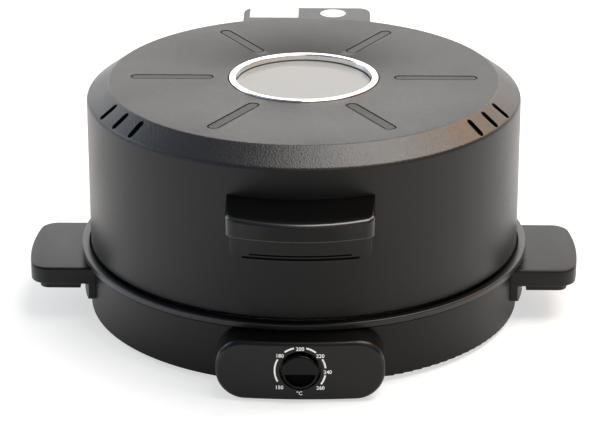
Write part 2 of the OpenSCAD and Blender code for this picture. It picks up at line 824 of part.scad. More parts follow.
module hinge_pin() {
    half = base_eye_x + eye_w;
    head_r = pin_r + 2.5;
    head_t = 2;
    color("#b9bbbc") translate([0, hinge_y, hinge_z]) rotate([0, 90, 0]) {
        cylinder(r = pin_r, h = 2 * half, center = true, $fn = 64);
        for (side = [-1, 1]) translate([0, 0, side * (half + head_t / 2)])
            cylinder(r = head_r, h = head_t, center = true, $fn = 48);
    }
}

gland_r = 7;
gland_flange_r = 10;
gland_out = 12;
gland_mouth_r = 5;
// Frame of the cord inlet: its axis leaves the casing, the origin is on the wall
module at_inlet() {
    rotate([0, 0, inlet_azimuth]) translate([shell_r, 0, shell_z + shell_h / 2 - 2]) rotate([0, 90, 0]) children();
}

module cord_gland() {
    color("#1c1c1c") at_inlet() difference() {
        union() {
            translate([0, 0, -shell_t - 4]) cylinder(r = gland_r, h = shell_t + 5, $fn = 64);
            cylinder(r = gland_flange_r, h = 3, $fn = 64);
            translate([0, 0, 3 - seat]) cylinder(r1 = gland_r, r2 = cord_r + 1.5, h = gland_out - 3 + seat, $fn = 64);
        }
        cylinder(r = cord_r, h = gland_out + 1, $fn = 64);
        translate([0, 0, -shell_t - 5]) cylinder(r = gland_mouth_r, h = shell_t + 6, $fn = 64);
    }
}

// Rounded corner between the wall and the shoulder: angle and tangent length
shoulder_run = lid_r - lid_flat_r;
shoulder_turn = 90 - atan2(shoulder_h, shoulder_run);
shoulder_tangent = shoulder_edge_r * tan(shoulder_turn / 2);

// Filled outline of the lid, from the axis outwards
module lid_outer_profile() {
    polygon([
        [0, lid_z], [lid_r, lid_z], [lid_r, lid_wall_top - shoulder_tangent],
        [lid_r - shoulder_tangent * sin(shoulder_turn), lid_wall_top + shoulder_tangent * cos(shoulder_turn)],
        [lid_flat_r, lid_top], [0, lid_top]
    ]);
    translate([lid_r - shoulder_edge_r, lid_wall_top - shoulder_tangent]) circle(shoulder_edge_r, $fn = 64);
}

module lid_inner_profile() {
    inner_r = lid_r - lid_t;
    polygon([
        [0, lid_z - 1], [inner_r, lid_z - 1], [inner_r, lid_wall_top - shoulder_tangent],
        [lid_flat_r - lid_t / 2, lid_in_top], [0, lid_in_top]
    ]);
}

window_hole_r = bezel_inner_r + bezel_sleeve_t + 0.2;
clamp_screw_r = bezel_r + 9;
module at_clamp_screws() {
    for (a = [0 : 60 : 300]) rotate([0, 0, a + 30]) translate([clamp_screw_r, 0, 0]) children();
}

liner_screw_r = (liner_r + lid_r - lid_t) / 2;
liner_pad_r = 4;
liner_pad_z = liner_flange_z + sheet_t;
module at_liner_screws() {
    for (a = [0 : 60 : 300]) rotate([0, 0, a]) translate([liner_screw_r, 0, 0]) children();
}

module lid_shell() {
    color("#2e2d2c") difference() {
        union() {
            rotate_extrude($fn = 180) difference() {
                lid_outer_profile();
                lid_inner_profile();
                square([window_hole_r, lid_top + 1]);
            }
            intersection() {
                tube(lid_r - lid_t / 2, liner_screw_r - liner_pad_r, liner_pad_z, liner_pad_z + liner_pad_t);
                for (a = [0 : 60 : 120]) rotate([0, 0, a]) translate([-lid_r, -liner_pad_r, lid_z])
                    cube([2 * lid_r, 2 * liner_pad_r, lid_top - lid_z]);
            }
            at_clamp_screws() translate([0, 0, liner_top + clamp_t])
                cylinder(r = 4, h = lid_in_top - liner_top - clamp_t + 1, $fn = 48);
        }
        for (i = [0 : groove_count - 1]) rotate([0, 0, 360 / groove_count * i])
            translate([0, 0, lid_top - groove_depth]) linear_extrude(groove_depth + 1)
                slot(groove_r_in, groove_r_out, groove_w);
        for (side = [-1, 1], i = [-1, 0, 1])
            rotate([0, 0, -90 + side * (90 - vent_angle + i * vent_pitch)])
                translate([0, 0, lid_wall_top - 10]) linear_extrude(shoulder_h + 20)
                    slot(lid_flat_r + 2.5, lid_r - 2, vent_w);
        at_clamp_screws() translate([0, 0, liner_top + clamp_t]) screw_hole(8);
        at_liner_screws() translate([0, 0, liner_flange_z]) screw_hole(20);
        for (x = [-1, 1]) translate([x * leg_x, lid_r, upper_z]) rotate([90, 0, 0])
            cylinder(r = insulator_r + 1, h = 30, center = true, $fn = 48);
        at_handle_bolts() front_cylinder(screw_r + screw_clear, 0, 0, lid_r - 20, lid_r + 2, 32);
        at_arm_screws() translate([0, lid_r, 0]) rotate([90, 0, 0]) screw_hole(30);
    }
}

// Bright ring: a rounded flange on the lid top and a sleeve in the window hole
module window_bezel() {
    edge_r = bezel_rise / 2;
    color("#e8e8ea") rotate_extrude($fn = 180) {
        translate([bezel_inner_r, lid_top]) square([bezel_r - bezel_inner_r - edge_r, bezel_rise]);
        translate([bezel_r - edge_r, lid_top]) square([edge_r, bezel_rise - edge_r]);
        translate([bezel_r - edge_r, lid_top + bezel_rise - edge_r]) circle(edge_r, $fn = 32);
        translate([bezel_inner_r, lid_in_top + seat]) square([bezel_sleeve_t, lid_top_t]);
    }
}

seal_r = bezel_inner_r + seal_lap + seal_t;
module window_glass() {
    color("#cfd3cf", 0.5) translate([0, 0, lid_in_top - seal_t - glass_t])
        cylinder(r = seal_r - seal_t, h = glass_t, $fn = 180);
}

module window_seal() {
    color("#3b3b3b") difference() {
        tube(seal_r, bezel_inner_r - 0.4, lid_in_top - glass_t - 2 * seal_t, lid_in_top);
        translate([0, 0, lid_in_top - seal_t - glass_t]) cylinder(r = seal_r - seal_t, h = glass_t, $fn = 180);
    }
}

module window_clamp() {
    color("#b6b8b8") difference() {
        tube(clamp_screw_r + 5, bezel_inner_r, liner_top, liner_top + clamp_t);
        at_clamp_screws() translate([0, 0, liner_top]) screw_hole(8);
    }
}

module liner_profile() {
    t = sheet_t;
    polygon([
        [lid_r - lid_t - 0.3, liner_flange_z], [lid_r - lid_t - 0.3, liner_flange_z + t],
        [liner_r, liner_flange_z + t], [liner_r, liner_shoulder_z], [liner_shoulder_r, liner_top],
        [bezel_inner_r + 2, liner_top], [bezel_inner_r + 2, liner_top - t],
        [liner_shoulder_r - t / 2, liner_top - t], [liner_r - t, liner_shoulder_z - t / 2],
        [liner_r - t, liner_flange_z]
    ]);
}

module lid_liner() {
    color("#b2b3b1") difference() {
        rotate_extrude($fn = 180) liner_profile();
        at_liner_screws() translate([0, 0, liner_flange_z]) screw_hole(6);
        at_clamp_screws() translate([0, 0, liner_top]) screw_hole(6);
        for (x = [-1, 1]) translate([x * leg_x, liner_r, upper_z]) rotate([90, 0, 0])
            cylinder(r = insulator_r + screw_clear, h = 40, center = true, $fn = 48);
    }
}

// Screws of the liner's flange and of the window clamp, all driven upwards
module liner_screws() {
    color("#a9abac") {
        at_liner_screws() translate([0, 0, liner_flange_z]) rotate([180, 0, 0])
            translate([0, 0, screw_head_t]) screw(sheet_t + liner_pad_t + 1.5);
        at_clamp_screws() translate([0, 0, liner_top - sheet_t]) rotate([180, 0, 0])
            translate([0, 0, screw_head_t]) screw(sheet_t + clamp_t + 3);
    }
}

module upper_element() {
    color("#4c4a48") translate([0, 0, upper_z]) rotate([0, 0, 180])
        heating_element(upper_ring_r, lid_r + 12);
}

// Hangers that carry the upper element below the liner's top
module upper_hangers() {
    color("#b2b3b1") difference() {
        for (a = [30, 150, 210, 330]) rotate([0, 0, a])
            translate([upper_ring_r - tube_r - 2, -clip_w / 2, upper_z])
                cube([2 * tube_r + 4, clip_w, liner_top - sheet_t - upper_z]);
        translate([0, 0, upper_z]) rotate_extrude($fn = 120) translate([upper_ring_r, 0])
            circle(tube_r + seat, $fn = 32);
    }
}

module upper_insulators() {
    y0 = sqrt(pow(liner_r - sheet_t, 2) - pow(leg_x + insulator_flange_r, 2)) - 0.5;
    color("#e6e2d8") rotate([0, 0, 180]) for (x = [-1, 1]) insulator(x * leg_x, upper_z, y0);
}

// Plan outline of the grip: bowed front, rounded corners, running back into the wall
module grip_outline(inset, back = lid_r - 40) {
    rotate([0, 0, -90]) polygon(bowed_points(
        grip_reach - inset, grip_bow_r - inset, grip_w / 2 - inset, grip_corner_r - inset, back
    ));
}

grip_slope = atan2(grip_fall, grip_reach - lid_r);
// A thin slice of the grip parallel to its sloping top, at a depth below it
module grip_slice(inset, depth) {
    translate([0, -lid_r, grip_top]) rotate([grip_slope, 0, 0]) translate([0, lid_r, -depth])
        linear_extrude(0.05) grip_outline(inset);
}

module at_handle_bolts() {
    for (x = [-1, 1], z = [0, -28]) {
        translate([x * (backplate_w / 2 - 12), 0, grip_top - 14 + z]) children();
    }
}

module lid_handle() {
    color("#1b1a1a") difference() {
        hull() {
            grip_slice(grip_edge_r, 0);
            grip_slice(grip_edge_r * 0.29, grip_edge_r * 0.29);
            grip_slice(0, grip_edge_r);
            translate([0, 0, grip_bottom + 3]) linear_extrude(0.05) grip_outline(0);
            translate([0, 0, grip_bottom]) linear_extrude(0.05) grip_outline(2);
        }
        translate([0, 0, grip_bottom - 1]) linear_extrude(grip_face_h + 1 - grip_t)
            grip_outline(grip_t, lid_r + backplate_t + 4);
        cylinder(r = lid_r + seat, h = lid_top, $fn = 180);
        backplate_solid(seat);
        at_handle_bolts() front_cylinder(screw_r + screw_clear, 0, 0, lid_r - 30, lid_r + 9, 32);
    }
}

// The curved plate between the grip and the lid wall
backplate_z = grip_bottom - backplate_h + 8;
module backplate_solid(gap) {
    intersection() {
        cylinder(r = lid_r + backplate_t + gap, h = lid_top, $fn = 180);
        forward(lid_r - 40, lid_r + 20) translate([0, (backplate_z + grip_top - 8) / 2])
            rounded_rect(backplate_w + 2 * gap, grip_top - 8 - backplate_z + 2 * gap, backplate_corner_r);
    }
}

module lid_handle_plate() {
    line_w = 0.9;
    line_depth = 0.8;
    color("#272625") difference() {
        backplate_solid(0);
        cylinder(r = lid_r + seat, h = lid_top, $fn = 180);
        difference() {
            for (i = [0, 1]) forward(lid_r - 30, lid_r + 10)
                translate([0, backplate_z + 2.5 + 1.9 * i]) square([backplate_w - 19 - 12 * i, line_w], center = true);
            cylinder(r = lid_r + backplate_t - line_depth, h = lid_top, $fn = 180);
        }
        at_handle_bolts() front_cylinder(screw_r + screw_clear, 0, 0, lid_r - 30, lid_r + 9, 32);
    }
}

module lid_handle_screws() {
    y0 = sqrt(pow(lid_r - lid_t, 2) - pow(backplate_w / 2 - 12 + screw_head_r, 2)) - 0.2;
    color("#a9abac") at_handle_bolts() translate([0, -y0, 0]) rotate([-90, 0, 0])
        translate([0, 0, screw_head_t]) screw(lid_r + 2.5 - y0);
}

// Plan outline of the rear box, running forward into the lid wall
module box_outline(inset) {
    r = box_corner_r - inset;
    translate([-box_w / 2 + inset, lid_r - 40]) square([box_w - 2 * inset, box_reach - lid_r + 40 - inset - r]);
    translate([-box_w / 2 + inset + r, lid_r - 40]) square([box_w - 2 * inset - 2 * r, box_reach - lid_r + 40 - inset]);
    for (x = [-1, 1]) translate([x * (box_w / 2 - inset - r), box_reach - inset - r]) circle(r, $fn = 48);
}

module box_slice(inset, z) {
    translate([0, 0, z]) linear_extrude(0.05) box_outline(inset);
}

box_post_r = 5;
box_screw_x = box_w / 2 - box_t - box_post_r + 1;
box_screw_y = box_reach - box_corner_r - box_post_r;
module at_box_screws() {
    for (x = [-1, 1], y = [box_screw_y, lid_r + 8]) {
        translate([x * box_screw_x, y, 0]) children();
    }
}

// Housing behind the lid for the hinge arms and the upper element's connections
module rear_box() {
    color("#3b3a39") difference() {
        hull() {
            box_slice(0, box_z);
            box_slice(0, box_top - box_edge_r);
            box_slice(box_edge_r * 0.29, box_top - box_edge_r * 0.29);
            box_slice(box_edge_r, box_top - 0.05);
        }
        difference() {
            translate([0, 0, box_z - 1]) linear_extrude(box_top - box_z + 1 - box_t) box_outline(box_t);
            at_box_screws() translate([0, 0, box_z + box_cover_t]) cylinder(r = box_post_r, h = 20, $fn = 48);
        }
        cylinder(r = lid_r + seat, h = lid_top, $fn = 180);
        at_box_screws() translate([0, 0, box_z]) screw_hole(24);
    }
}

module rear_box_cover() {
    gap = 0.3;
    color("#2d2c2b") difference() {
        translate([0, 0, box_z]) linear_extrude(box_cover_t) box_outline(box_t + gap);
        cylinder(r = lid_r + gap, h = lid_top, $fn = 180);
        for (side = [0, 1]) mirror([side, 0, 0])
            translate([eye_x - 1, hinge_y - eye_r - 1, box_z - 1]) cube([eye_w + 2, 2 * eye_r + 2, box_cover_t + 2]);
        at_box_screws() translate([0, 0, box_z]) screw_hole(24);
    }
}

module rear_box_screws() {
    color("#a9abac") at_box_screws() translate([0, 0, box_z]) rotate([180, 0, 0])
        translate([0, 0, screw_head_t]) screw(box_cover_t + 8);
}

module at_arm_screws() {
    for (x = [-1, 1], z = [box_z + arm_h / 3, arm_top - eye_r]) translate([x * eye_x / 2, 0, z]) children();
}

// Two arms on one curved plate that is screwed to the lid's rear wall
module hinge_arms() {
    plate_half = eye_x + eye_w;
    elbow_z = box_z + eye_r;
    color("#9b9d9e") difference() {
        union() {
            intersection() {
                tube(lid_r + hinge_plate_t, lid_r + seat, elbow_z, arm_top);
                translate([-plate_half, 0, 0]) cube([2 * plate_half, 2 * lid_r, lid_top]);
            }
            for (side = [0, 1]) mirror([side, 0, 0]) across(eye_x, eye_x + eye_w) difference() {
                union() {
                    eye_profile(hinge_y - eye_r, hinge_z, elbow_z);
                    translate([hinge_y - 1, hinge_z]) square([eye_r + 1, elbow_z - hinge_z]);
                    polygon([
                        [lid_r - 3, elbow_z], [hinge_y + eye_r, elbow_z],
                        [lid_r + hinge_plate_t, arm_top], [lid_r - 3, arm_top]
                    ]);
                }
            }
        }
        cylinder(r = lid_r + seat, h = lid_top, $fn = 180);
        translate([0, hinge_y, hinge_z]) rotate([0, 90, 0])
            cylinder(r = pin_r + pin_clear, h = box_w, center = true, $fn = 64);
        at_arm_screws() translate([0, lid_r, 0]) rotate([90, 0, 0]) screw_hole(30);
    }
}

module hinge_arm_screws() {
    y0 = lid_r + hinge_plate_t + 0.05;
    color("#a9abac") at_arm_screws() translate([0, y0, 0]) rotate([-90, 0, 0])
        translate([0, 0, screw_head_t]) screw(hinge_plate_t + lid_t - 0.5);
}

// Half section of the knob: radius against distance from its back edge
knob_h = knob_tip_y - recess_y - knob_gap;
nut_room = 1;
shaft_end = knob_h - pocket_depth - 1;
module knob_profile() {
    edge = 2;
    difference() {
        union() {
            polygon([[0, 0], [knob_r, 0], [knob_front_r, knob_h - edge], [0, knob_h - edge]]);
            square([knob_front_r - edge, knob_h]);
            translate([knob_front_r - edge, knob_h - edge]) circle(edge, $fn = 48);
        }
        translate([0, -1]) square([nut_r + nut_room, nut_t + nut_room + 1]);
        translate([0, -1]) square([shaft_r, shaft_end + 1.2]);
    }
}

// The knob is turned by a half-round pocket for a fingertip in its face
module thermostat_knob() {
    color("#141414") difference() {
        translate([0, -recess_y - knob_gap, panel_mid_z]) rotate([90, 0, 0])
            rotate_extrude($fn = 96) knob_profile();
        intersection() {
            front_cylinder(pocket_r, 0, panel_mid_z, knob_tip_y - pocket_depth, knob_tip_y + 1, 96);
            translate([-knob_r, -knob_tip_y - 1, panel_mid_z - knob_r])
                cube([2 * knob_r, pocket_depth + 2, knob_r - pocket_drop]);
        }
    }
}

module thermostat_shaft() {
    color("#c2c2c0") front_cylinder(shaft_r, 0, panel_mid_z, thermo_y - 10, recess_y + knob_gap + shaft_end, 64);
}

module plate_profile() {
    slope = plate_r - 9 - plate_floor_r;
    polygon([
        [0, plate_bottom_z], [plate_floor_r, plate_bottom_z],
        [plate_floor_r + slope, plate_edge_z], [plate_r, plate_edge_z],
        [plate_r, plate_edge_z + plate_t + plate_lip_h], [plate_r - plate_t, plate_edge_z + plate_t + plate_lip_h],
        [plate_r - plate_t, plate_edge_z + plate_t], [plate_floor_r + slope - 2, plate_edge_z + plate_t],
        [plate_floor_r - 2, plate_bottom_z + plate_t], [0, plate_bottom_z + plate_t]
    ]);
}

module baking_plate() {
    color("#3c3b3a") rotate_extrude($fn = 180) plate_profile();
}

base_shell();
base_rim();
bottom_cover();
bottom_screws();
rubber_feet();
control_panel();
panel_screws();
thermostat();
thermostat_nut();
sensing_bulb();
reflector();
lower_element();
lower_clips();
lower_insulators();
terminal_block();
left_handle();
right_handle();
left_handle_cover();
right_handle_cover();
handle_screws();
hinge_bracket();
hinge_bracket_screws();
hinge_pin();
cord_gland();
lid_shell();
window_bezel();
window_glass();
window_seal();
window_clamp();
lid_liner();
liner_screws();
upper_element();
upper_hangers();
upper_insulators();
lid_handle();
lid_handle_plate();
lid_handle_screws();
rear_box();
rear_box_cover();
rear_box_screws();
hinge_arms();
hinge_arm_screws();
thermostat_knob();
thermostat_shaft();
baking_plate();
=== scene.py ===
from math import atan2, cos, pi, radians, sin, sqrt
import bmesh
import bpy
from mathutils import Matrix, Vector


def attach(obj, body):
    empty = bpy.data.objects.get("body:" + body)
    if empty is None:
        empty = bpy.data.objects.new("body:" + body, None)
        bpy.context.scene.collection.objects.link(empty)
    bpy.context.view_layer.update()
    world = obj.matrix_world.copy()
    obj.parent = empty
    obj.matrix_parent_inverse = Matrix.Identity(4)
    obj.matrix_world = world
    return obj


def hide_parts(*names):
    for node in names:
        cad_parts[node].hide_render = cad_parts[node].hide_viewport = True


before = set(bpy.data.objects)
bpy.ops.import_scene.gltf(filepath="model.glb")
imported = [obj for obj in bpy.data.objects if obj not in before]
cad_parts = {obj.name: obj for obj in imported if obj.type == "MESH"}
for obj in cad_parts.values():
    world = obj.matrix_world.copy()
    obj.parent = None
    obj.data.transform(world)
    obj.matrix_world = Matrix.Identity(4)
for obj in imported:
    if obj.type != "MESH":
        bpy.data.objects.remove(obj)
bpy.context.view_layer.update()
scene = bpy.context.scene


# The studio: a plain pale floor that keeps the cooker's shadow, a pale room for the satin
# plastic and the polished ring to reflect, and soft lamps above, behind and at the left.
def node(tree, kind, inputs=None, **settings):
    made = tree.nodes.new(kind)
    for name, value in settings.items():
        setattr(made, name, value)
    for name, value in (inputs or {}).items():
        if isinstance(value, bpy.types.NodeSocket):
            tree.links.new(value, made.inputs[name])
        else:
            made.inputs[name].default_value = value
    return made


def maths(tree, operation, first, second=0.0):
    return node(tree, "ShaderNodeMath", {0: first, 1: second}, operation=operation).outputs[0]


def mix(tree, share, first, second):
    """The first colour where the share is 0, the second where it is 1."""
    return node(tree, "ShaderNodeMix", {0: share, 6: first, 7: second}, data_type="RGBA").outputs[2]


# The camera sees white. Reflections see a room that is cool at the left, warm at the right and
# white behind the cooker. All other light from the room is an even grey.
white = (1, 1, 1, 1)
world = bpy.data.worlds.new("pale_room")
scene.world = world
world.use_nodes = True
room = world.node_tree
path = node(room, "ShaderNodeLightPath").outputs
direction = node(room, "ShaderNodeTexCoord").outputs["Generated"]
toward = node(room, "ShaderNodeSeparateXYZ", {0: direction}).outputs
across = node(room, "ShaderNodeMapRange", {"Value": toward["X"], "From Min": -1.0, "From Max": 1.0})
ceiling = node(room, "ShaderNodeValToRGB", {"Fac": across.outputs[0]})
stops = ceiling.color_ramp.elements
stops[0].color, stops[-1].color = (0.5, 0.53, 0.62, 1), (0.3, 0.22, 0.17, 1)
for at, colour in ((0.22, (0.13, 0.16, 0.27, 1)), (0.42, (0.2, 0.2, 0.22, 1)), (0.55, (0.42, 0.41, 0.4, 1)),
                   (0.78, (0.56, 0.38, 0.25, 1))):
    stops.new(at).color = colour
behind = node(room, "ShaderNodeMapRange", {"Value": toward["Y"], "From Min": 0.35, "From Max": 0.75})
below = node(room, "ShaderNodeMapRange", {"Value": toward["Z"], "From Min": 0.75, "From Max": 0.45})
backdrop = maths(room, "MULTIPLY", behind.outputs[0], below.outputs[0])
plain = maths(room, "MAXIMUM", path["Is Camera Ray"], path["Is Transmission Ray"])
seen = maths(room, "MAXIMUM", plain, path["Is Glossy Ray"])
shown = mix(room, plain, mix(room, backdrop, ceiling.outputs["Color"], white), white)
room.links.new(mix(room, seen, (0.35, 0.35, 0.35, 1), shown), room.nodes["Background"].inputs["Color"])


def clear():
    """Object mode with nothing selected."""
    if bpy.context.object and bpy.context.object.mode != "OBJECT":
        bpy.ops.object.mode_set(mode="OBJECT")
    bpy.ops.object.select_all(action="DESELECT")


clear()
bpy.ops.mesh.primitive_plane_add(size=14, location=(0, 0, -0.0004))
floor = bpy.context.object
floor.name = "floor"
floor_paper = bpy.data.materials.new("floor_paper")
floor_paper.use_nodes = True
paper = floor_paper.node_tree
paper_shader = paper.nodes["Principled BSDF"]
paper_shader.inputs["Base Color"].default_value = (0.62, 0.62, 0.62, 1)
paper_shader.inputs["Roughness"].default_value = 0.9
paper_shader.inputs["Specular IOR Level"].default_value = 0.0
paper_shader.inputs["Emission Color"].default_value = white

# The camera sees the paper lifted to white, more so far away, and reflections see it brighter
# beside the cooker than in front of it
paper_path = node(paper, "ShaderNodeLightPath").outputs
spot = node(paper, "ShaderNodeTexCoord").outputs["Object"]
spread = node(paper, "ShaderNodeVectorMath", {0: spot}, operation="LENGTH")
far = node(paper, "ShaderNodeMapRange", {"Value": spread.outputs["Value"], "From Min": 1.0, "From Max": 3.5,
                                         "To Min": 0.57, "To Max": 1.0})
lift = maths(paper, "MULTIPLY", paper_path["Is Camera Ray"], far.outputs[0])
aside = maths(paper, "ABSOLUTE", node(paper, "ShaderNodeSeparateXYZ", {0: spot}).outputs["X"])
flank = node(paper, "ShaderNodeMapRange", {"Value": aside, "From Min": 0.16, "From Max": 0.34,
                                           "To Min": 0.17, "To Max": 0.9})
glow = maths(paper, "MULTIPLY", flank.outputs[0], paper_path["Is Glossy Ray"])
paper.links.new(maths(paper, "ADD", lift, glow), paper_shader.inputs["Emission Strength"])
floor.data.materials.append(floor_paper)


def lamp(name, place, aim, size, power, colour):
    light = bpy.data.lights.new(name, "AREA")
    light.shape = "RECTANGLE"
    light.size, light.size_y = size
    light.energy = power
    light.color = colour
    stand = bpy.data.objects.new(name, light)
    stand.location = place
    stand.rotation_euler = (Vector(aim) - Vector(place)).to_track_quat("-Z", "Y").to_euler()
    scene.collection.objects.link(stand)


lamp("overhead_soft", (0.85, -0.05, 2.45), (0.1, 0, 0.1), (1.9, 1.9), 60, (1, 0.97, 0.94))
lamp("right_warm", (1.3, 1.05, 1.6), (0.1, 0, 0.2), (0.9, 0.8), 11, (1, 0.62, 0.36))
lamp("back_soft", (0, 2.7, 1.35), (0, 0, 0.15), (4.4, 1.2), 24, (1, 1, 1))
lamp("left_cool", (-2.2, 0.9, 1.3), (0, 0, 0.15), (1.0, 1.0), 9, (0.7, 0.82, 1))

yaw, tilt, reach, eye_high = radians(0.8), radians(21.887), 2.2904, 1.0076
camera_data = bpy.data.cameras.new("camera")
camera_data.lens = 157.5
camera_data.sensor_width = 36
camera_data.shift_x = -0.00635
camera = bpy.data.objects.new("camera", camera_data)
camera.location = (sin(yaw) * reach, -cos(yaw) * reach, eye_high)
camera.rotation_euler = (pi / 2 - tilt, 0, yaw)
scene.collection.objects.link(camera)
scene.camera = camera
scene.view_settings.view_transform = "Standard"


# The base casing: one round moulding of black ABS with a fine matt grain, open at the top,
# where the trim ring is clipped on, and closed below by the sheet cover.
def group(name, inputs, outputs):
    """An empty node group with its sockets, and its input and output nodes."""
    made = bpy.data.node_groups.new(name, "ShaderNodeTree")
    for label, kind, value in inputs:
        socket = made.interface.new_socket(name=label, in_out="INPUT", socket_type=kind)
        if value is not None:
            socket.default_value = value
    for label, kind in outputs:
        made.interface.new_socket(name=label, in_out="OUTPUT", socket_type=kind)
    return made, made.nodes.new("NodeGroupInput"), made.nodes.new("NodeGroupOutput")


# Moulded grain: round pebbles a given size across, broken up by finer noise
grain_group, grain_in, grain_out = group(
    "moulded_grain",
    [("Vector", "NodeSocketVector", None), ("Pebble", "NodeSocketFloat", 0.001)],
    [("Height", "NodeSocketFloat")])
per_metre = maths(grain_group, "DIVIDE", 1.0, grain_in.outputs["Pebble"])
pebbles = node(grain_group, "ShaderNodeTexVoronoi", {
    "Vector": grain_in.outputs["Vector"], "Scale": per_metre, "Smoothness": 0.45}, feature="SMOOTH_F1")
fine = node(grain_group, "ShaderNodeTexNoise", {
    "Vector": grain_in.outputs["Vector"], "Scale": per_metre, "Detail": 3.0, "Roughness": 0.6})
relief = maths(grain_group, "SUBTRACT", fine.outputs["Fac"], pebbles.outputs["Distance"])
grain_group.links.new(relief, grain_out.inputs["Height"])

# Handling: broad uneven patches and small flecks that change the colour and the sheen a little
handled_group, handled_in, handled_out = group(
    "handled_surface",
    [("Vector", "NodeSocketVector", None), ("Colour", "NodeSocketColor", (0.03, 0.03, 0.03, 1)),
     ("Sheen", "NodeSocketFloat", 0.4), ("Uneven", "NodeSocketFloat", 0.3)],
    [("Colour", "NodeSocketColor"), ("Roughness", "NodeSocketFloat")])
patches = node(handled_group, "ShaderNodeTexNoise", {
    "Vector": handled_in.outputs["Vector"], "Scale": 14.0, "Detail": 4.0, "Distortion": 0.4})
flecks = node(handled_group, "ShaderNodeTexNoise", {
    "Vector": handled_in.outputs["Vector"], "Scale": 420.0, "Detail": 2.0})
mixed = maths(handled_group, "ADD", patches.outputs["Fac"], flecks.outputs["Fac"])
centred = maths(handled_group, "SUBTRACT", mixed, 1.0)
swing = maths(handled_group, "MULTIPLY", centred, handled_in.outputs["Uneven"])
tinted = node(handled_group, "ShaderNodeVectorMath", {
    0: handled_in.outputs["Colour"], "Scale": maths(handled_group, "ADD", swing, 1.0)}, operation="SCALE")
handled_group.links.new(tinted.outputs[0], handled_out.inputs["Colour"])
handled_group.links.new(maths(handled_group, "ADD", swing, handled_in.outputs["Sheen"]),
                        handled_out.inputs["Roughness"])


def finish(name, colour, sheen, uneven=0.12, pebble=0.0009, depth=0.00002, metal=0.0, **more):
    """A material with the handled surface and the moulded grain; more is set on the shader."""
    made = bpy.data.materials.new(name)
    made.use_nodes = True
    tree = made.node_tree
    shader = tree.nodes["Principled BSDF"]
    place = node(tree, "ShaderNodeTexCoord").outputs["Object"]
    grain = node(tree, "ShaderNodeGroup", node_tree=grain_group)
    tree.links.new(place, grain.inputs["Vector"])
    grain.inputs["Pebble"].default_value = pebble
    handled = node(tree, "ShaderNodeGroup", node_tree=handled_group)
    tree.links.new(place, handled.inputs["Vector"])
    handled.inputs["Colour"].default_value = (*colour, 1)
    handled.inputs["Sheen"].default_value = sheen
    handled.inputs["Uneven"].default_value = uneven
    tree.links.new(handled.outputs["Colour"], shader.inputs["Base Color"])
    tree.links.new(handled.outputs["Roughness"], shader.inputs["Roughness"])
    relief = node(tree, "ShaderNodeBump", {"Height": grain.outputs["Height"], "Distance": depth})
    tree.links.new(relief.outputs[0], shader.inputs["Normal"])
    shader.inputs["Metallic"].default_value = metal
    for socket, value in more.items():
        shader.inputs[socket.replace("_", " ")].default_value = value
    return made


def dress(material, *names):
    """Gives CAD nodes a material."""
    for name in names:
        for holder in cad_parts[name].material_slots:
            holder.material = material


casing_black = finish("casing_black", (0.006, 0.006, 0.0058), 0.4, pebble=0.0008, depth=0.00002,
                      Specular_IOR_Level=0.3)
dress(casing_black, "base_shell")


# The trim ring: a smoother satin moulding that covers the casing's edge and carries the lid,
# with the gutter that the lid's edge stands over.
def take(piece):
    """Makes a piece the only one selected."""
    clear()
    bpy.context.view_layer.objects.active = piece
    piece.select_set(True)


def edit(piece):
    take(piece)
    bpy.ops.object.mode_set(mode="EDIT")


def choose(piece, part, test):
    """In edit mode, selects the faces or edges that pass the test, and nothing else."""
    bpy.ops.mesh.select_mode(type=part)
    bpy.ops.mesh.select_all(action="DESELECT")
    mesh = bmesh.from_edit_mesh(piece.data)
    for item in mesh.faces if part == "FACE" else mesh.edges:
        if test(item):
            item.select_set(True)
    mesh.select_flush_mode()
    bmesh.update_edit_mesh(piece.data)


def middle(item):
    return sum((v.co for v in item.verts), Vector()) / len(item.verts)


def from_axis(item):
    """How far the middle of a face or an edge is from the cooker's upright axis."""
    return middle(item).xy.length


def soften(piece, width, segments, test, **more):
    """Rounds the edges that pass the test, and stays in edit mode."""
    edit(piece)
    choose(piece, "EDGE", test)
    bpy.ops.mesh.bevel(offset=width, segments=segments, affect="EDGES", **more)


def round_rim(piece, r, z, width, segments):
    """Rounds the circular edge at a radius and height."""
    soften(piece, width, segments, lambda e: all(
        abs(v.co.z - z) < 1e-5 and abs(v.co.xy.length - r) < 1e-5 for v in e.verts))


def face_out():
    """In edit mode, turns all faces outwards."""
    bpy.ops.mesh.select_all(action="SELECT")
    bpy.ops.mesh.normals_make_consistent(inside=False)


def settle(piece, name):
    """Puts a piece's place into its mesh and names it."""
    take(piece)
    bpy.ops.object.transform_apply(location=True, rotation=True, scale=True)
    piece.name = piece.data.name = name
    return piece


def apply(piece, kind, **settings):
    take(piece)
    change = piece.modifiers.new(kind.lower(), kind)
    for name, value in settings.items():
        setattr(change, name, value)
    bpy.ops.object.modifier_apply(modifier=change.name)


def cut(piece, cutter, operation="DIFFERENCE"):
    apply(piece, "BOOLEAN", object=cutter, operation=operation, solver="EXACT")
    bpy.data.objects.remove(cutter)


def cylinder(radius, depth, place, turn=(0, 0, 0), vertices=360):
    clear()
    bpy.ops.mesh.primitive_cylinder_add(vertices=vertices, radius=radius, depth=depth, location=place,
                                        rotation=turn)
    return settle(bpy.context.object, "cutter")


def finished(piece, material, body, slot, *nodes):
    """Smooth faces between the real edges, its material, its body and the nodes it stands for."""
    take(piece)
    bpy.ops.object.shade_smooth_by_angle(angle=radians(32))
    piece.data.materials.clear()
    piece.data.materials.append(material)
    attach(piece, body)
    if nodes:
        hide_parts(*nodes)


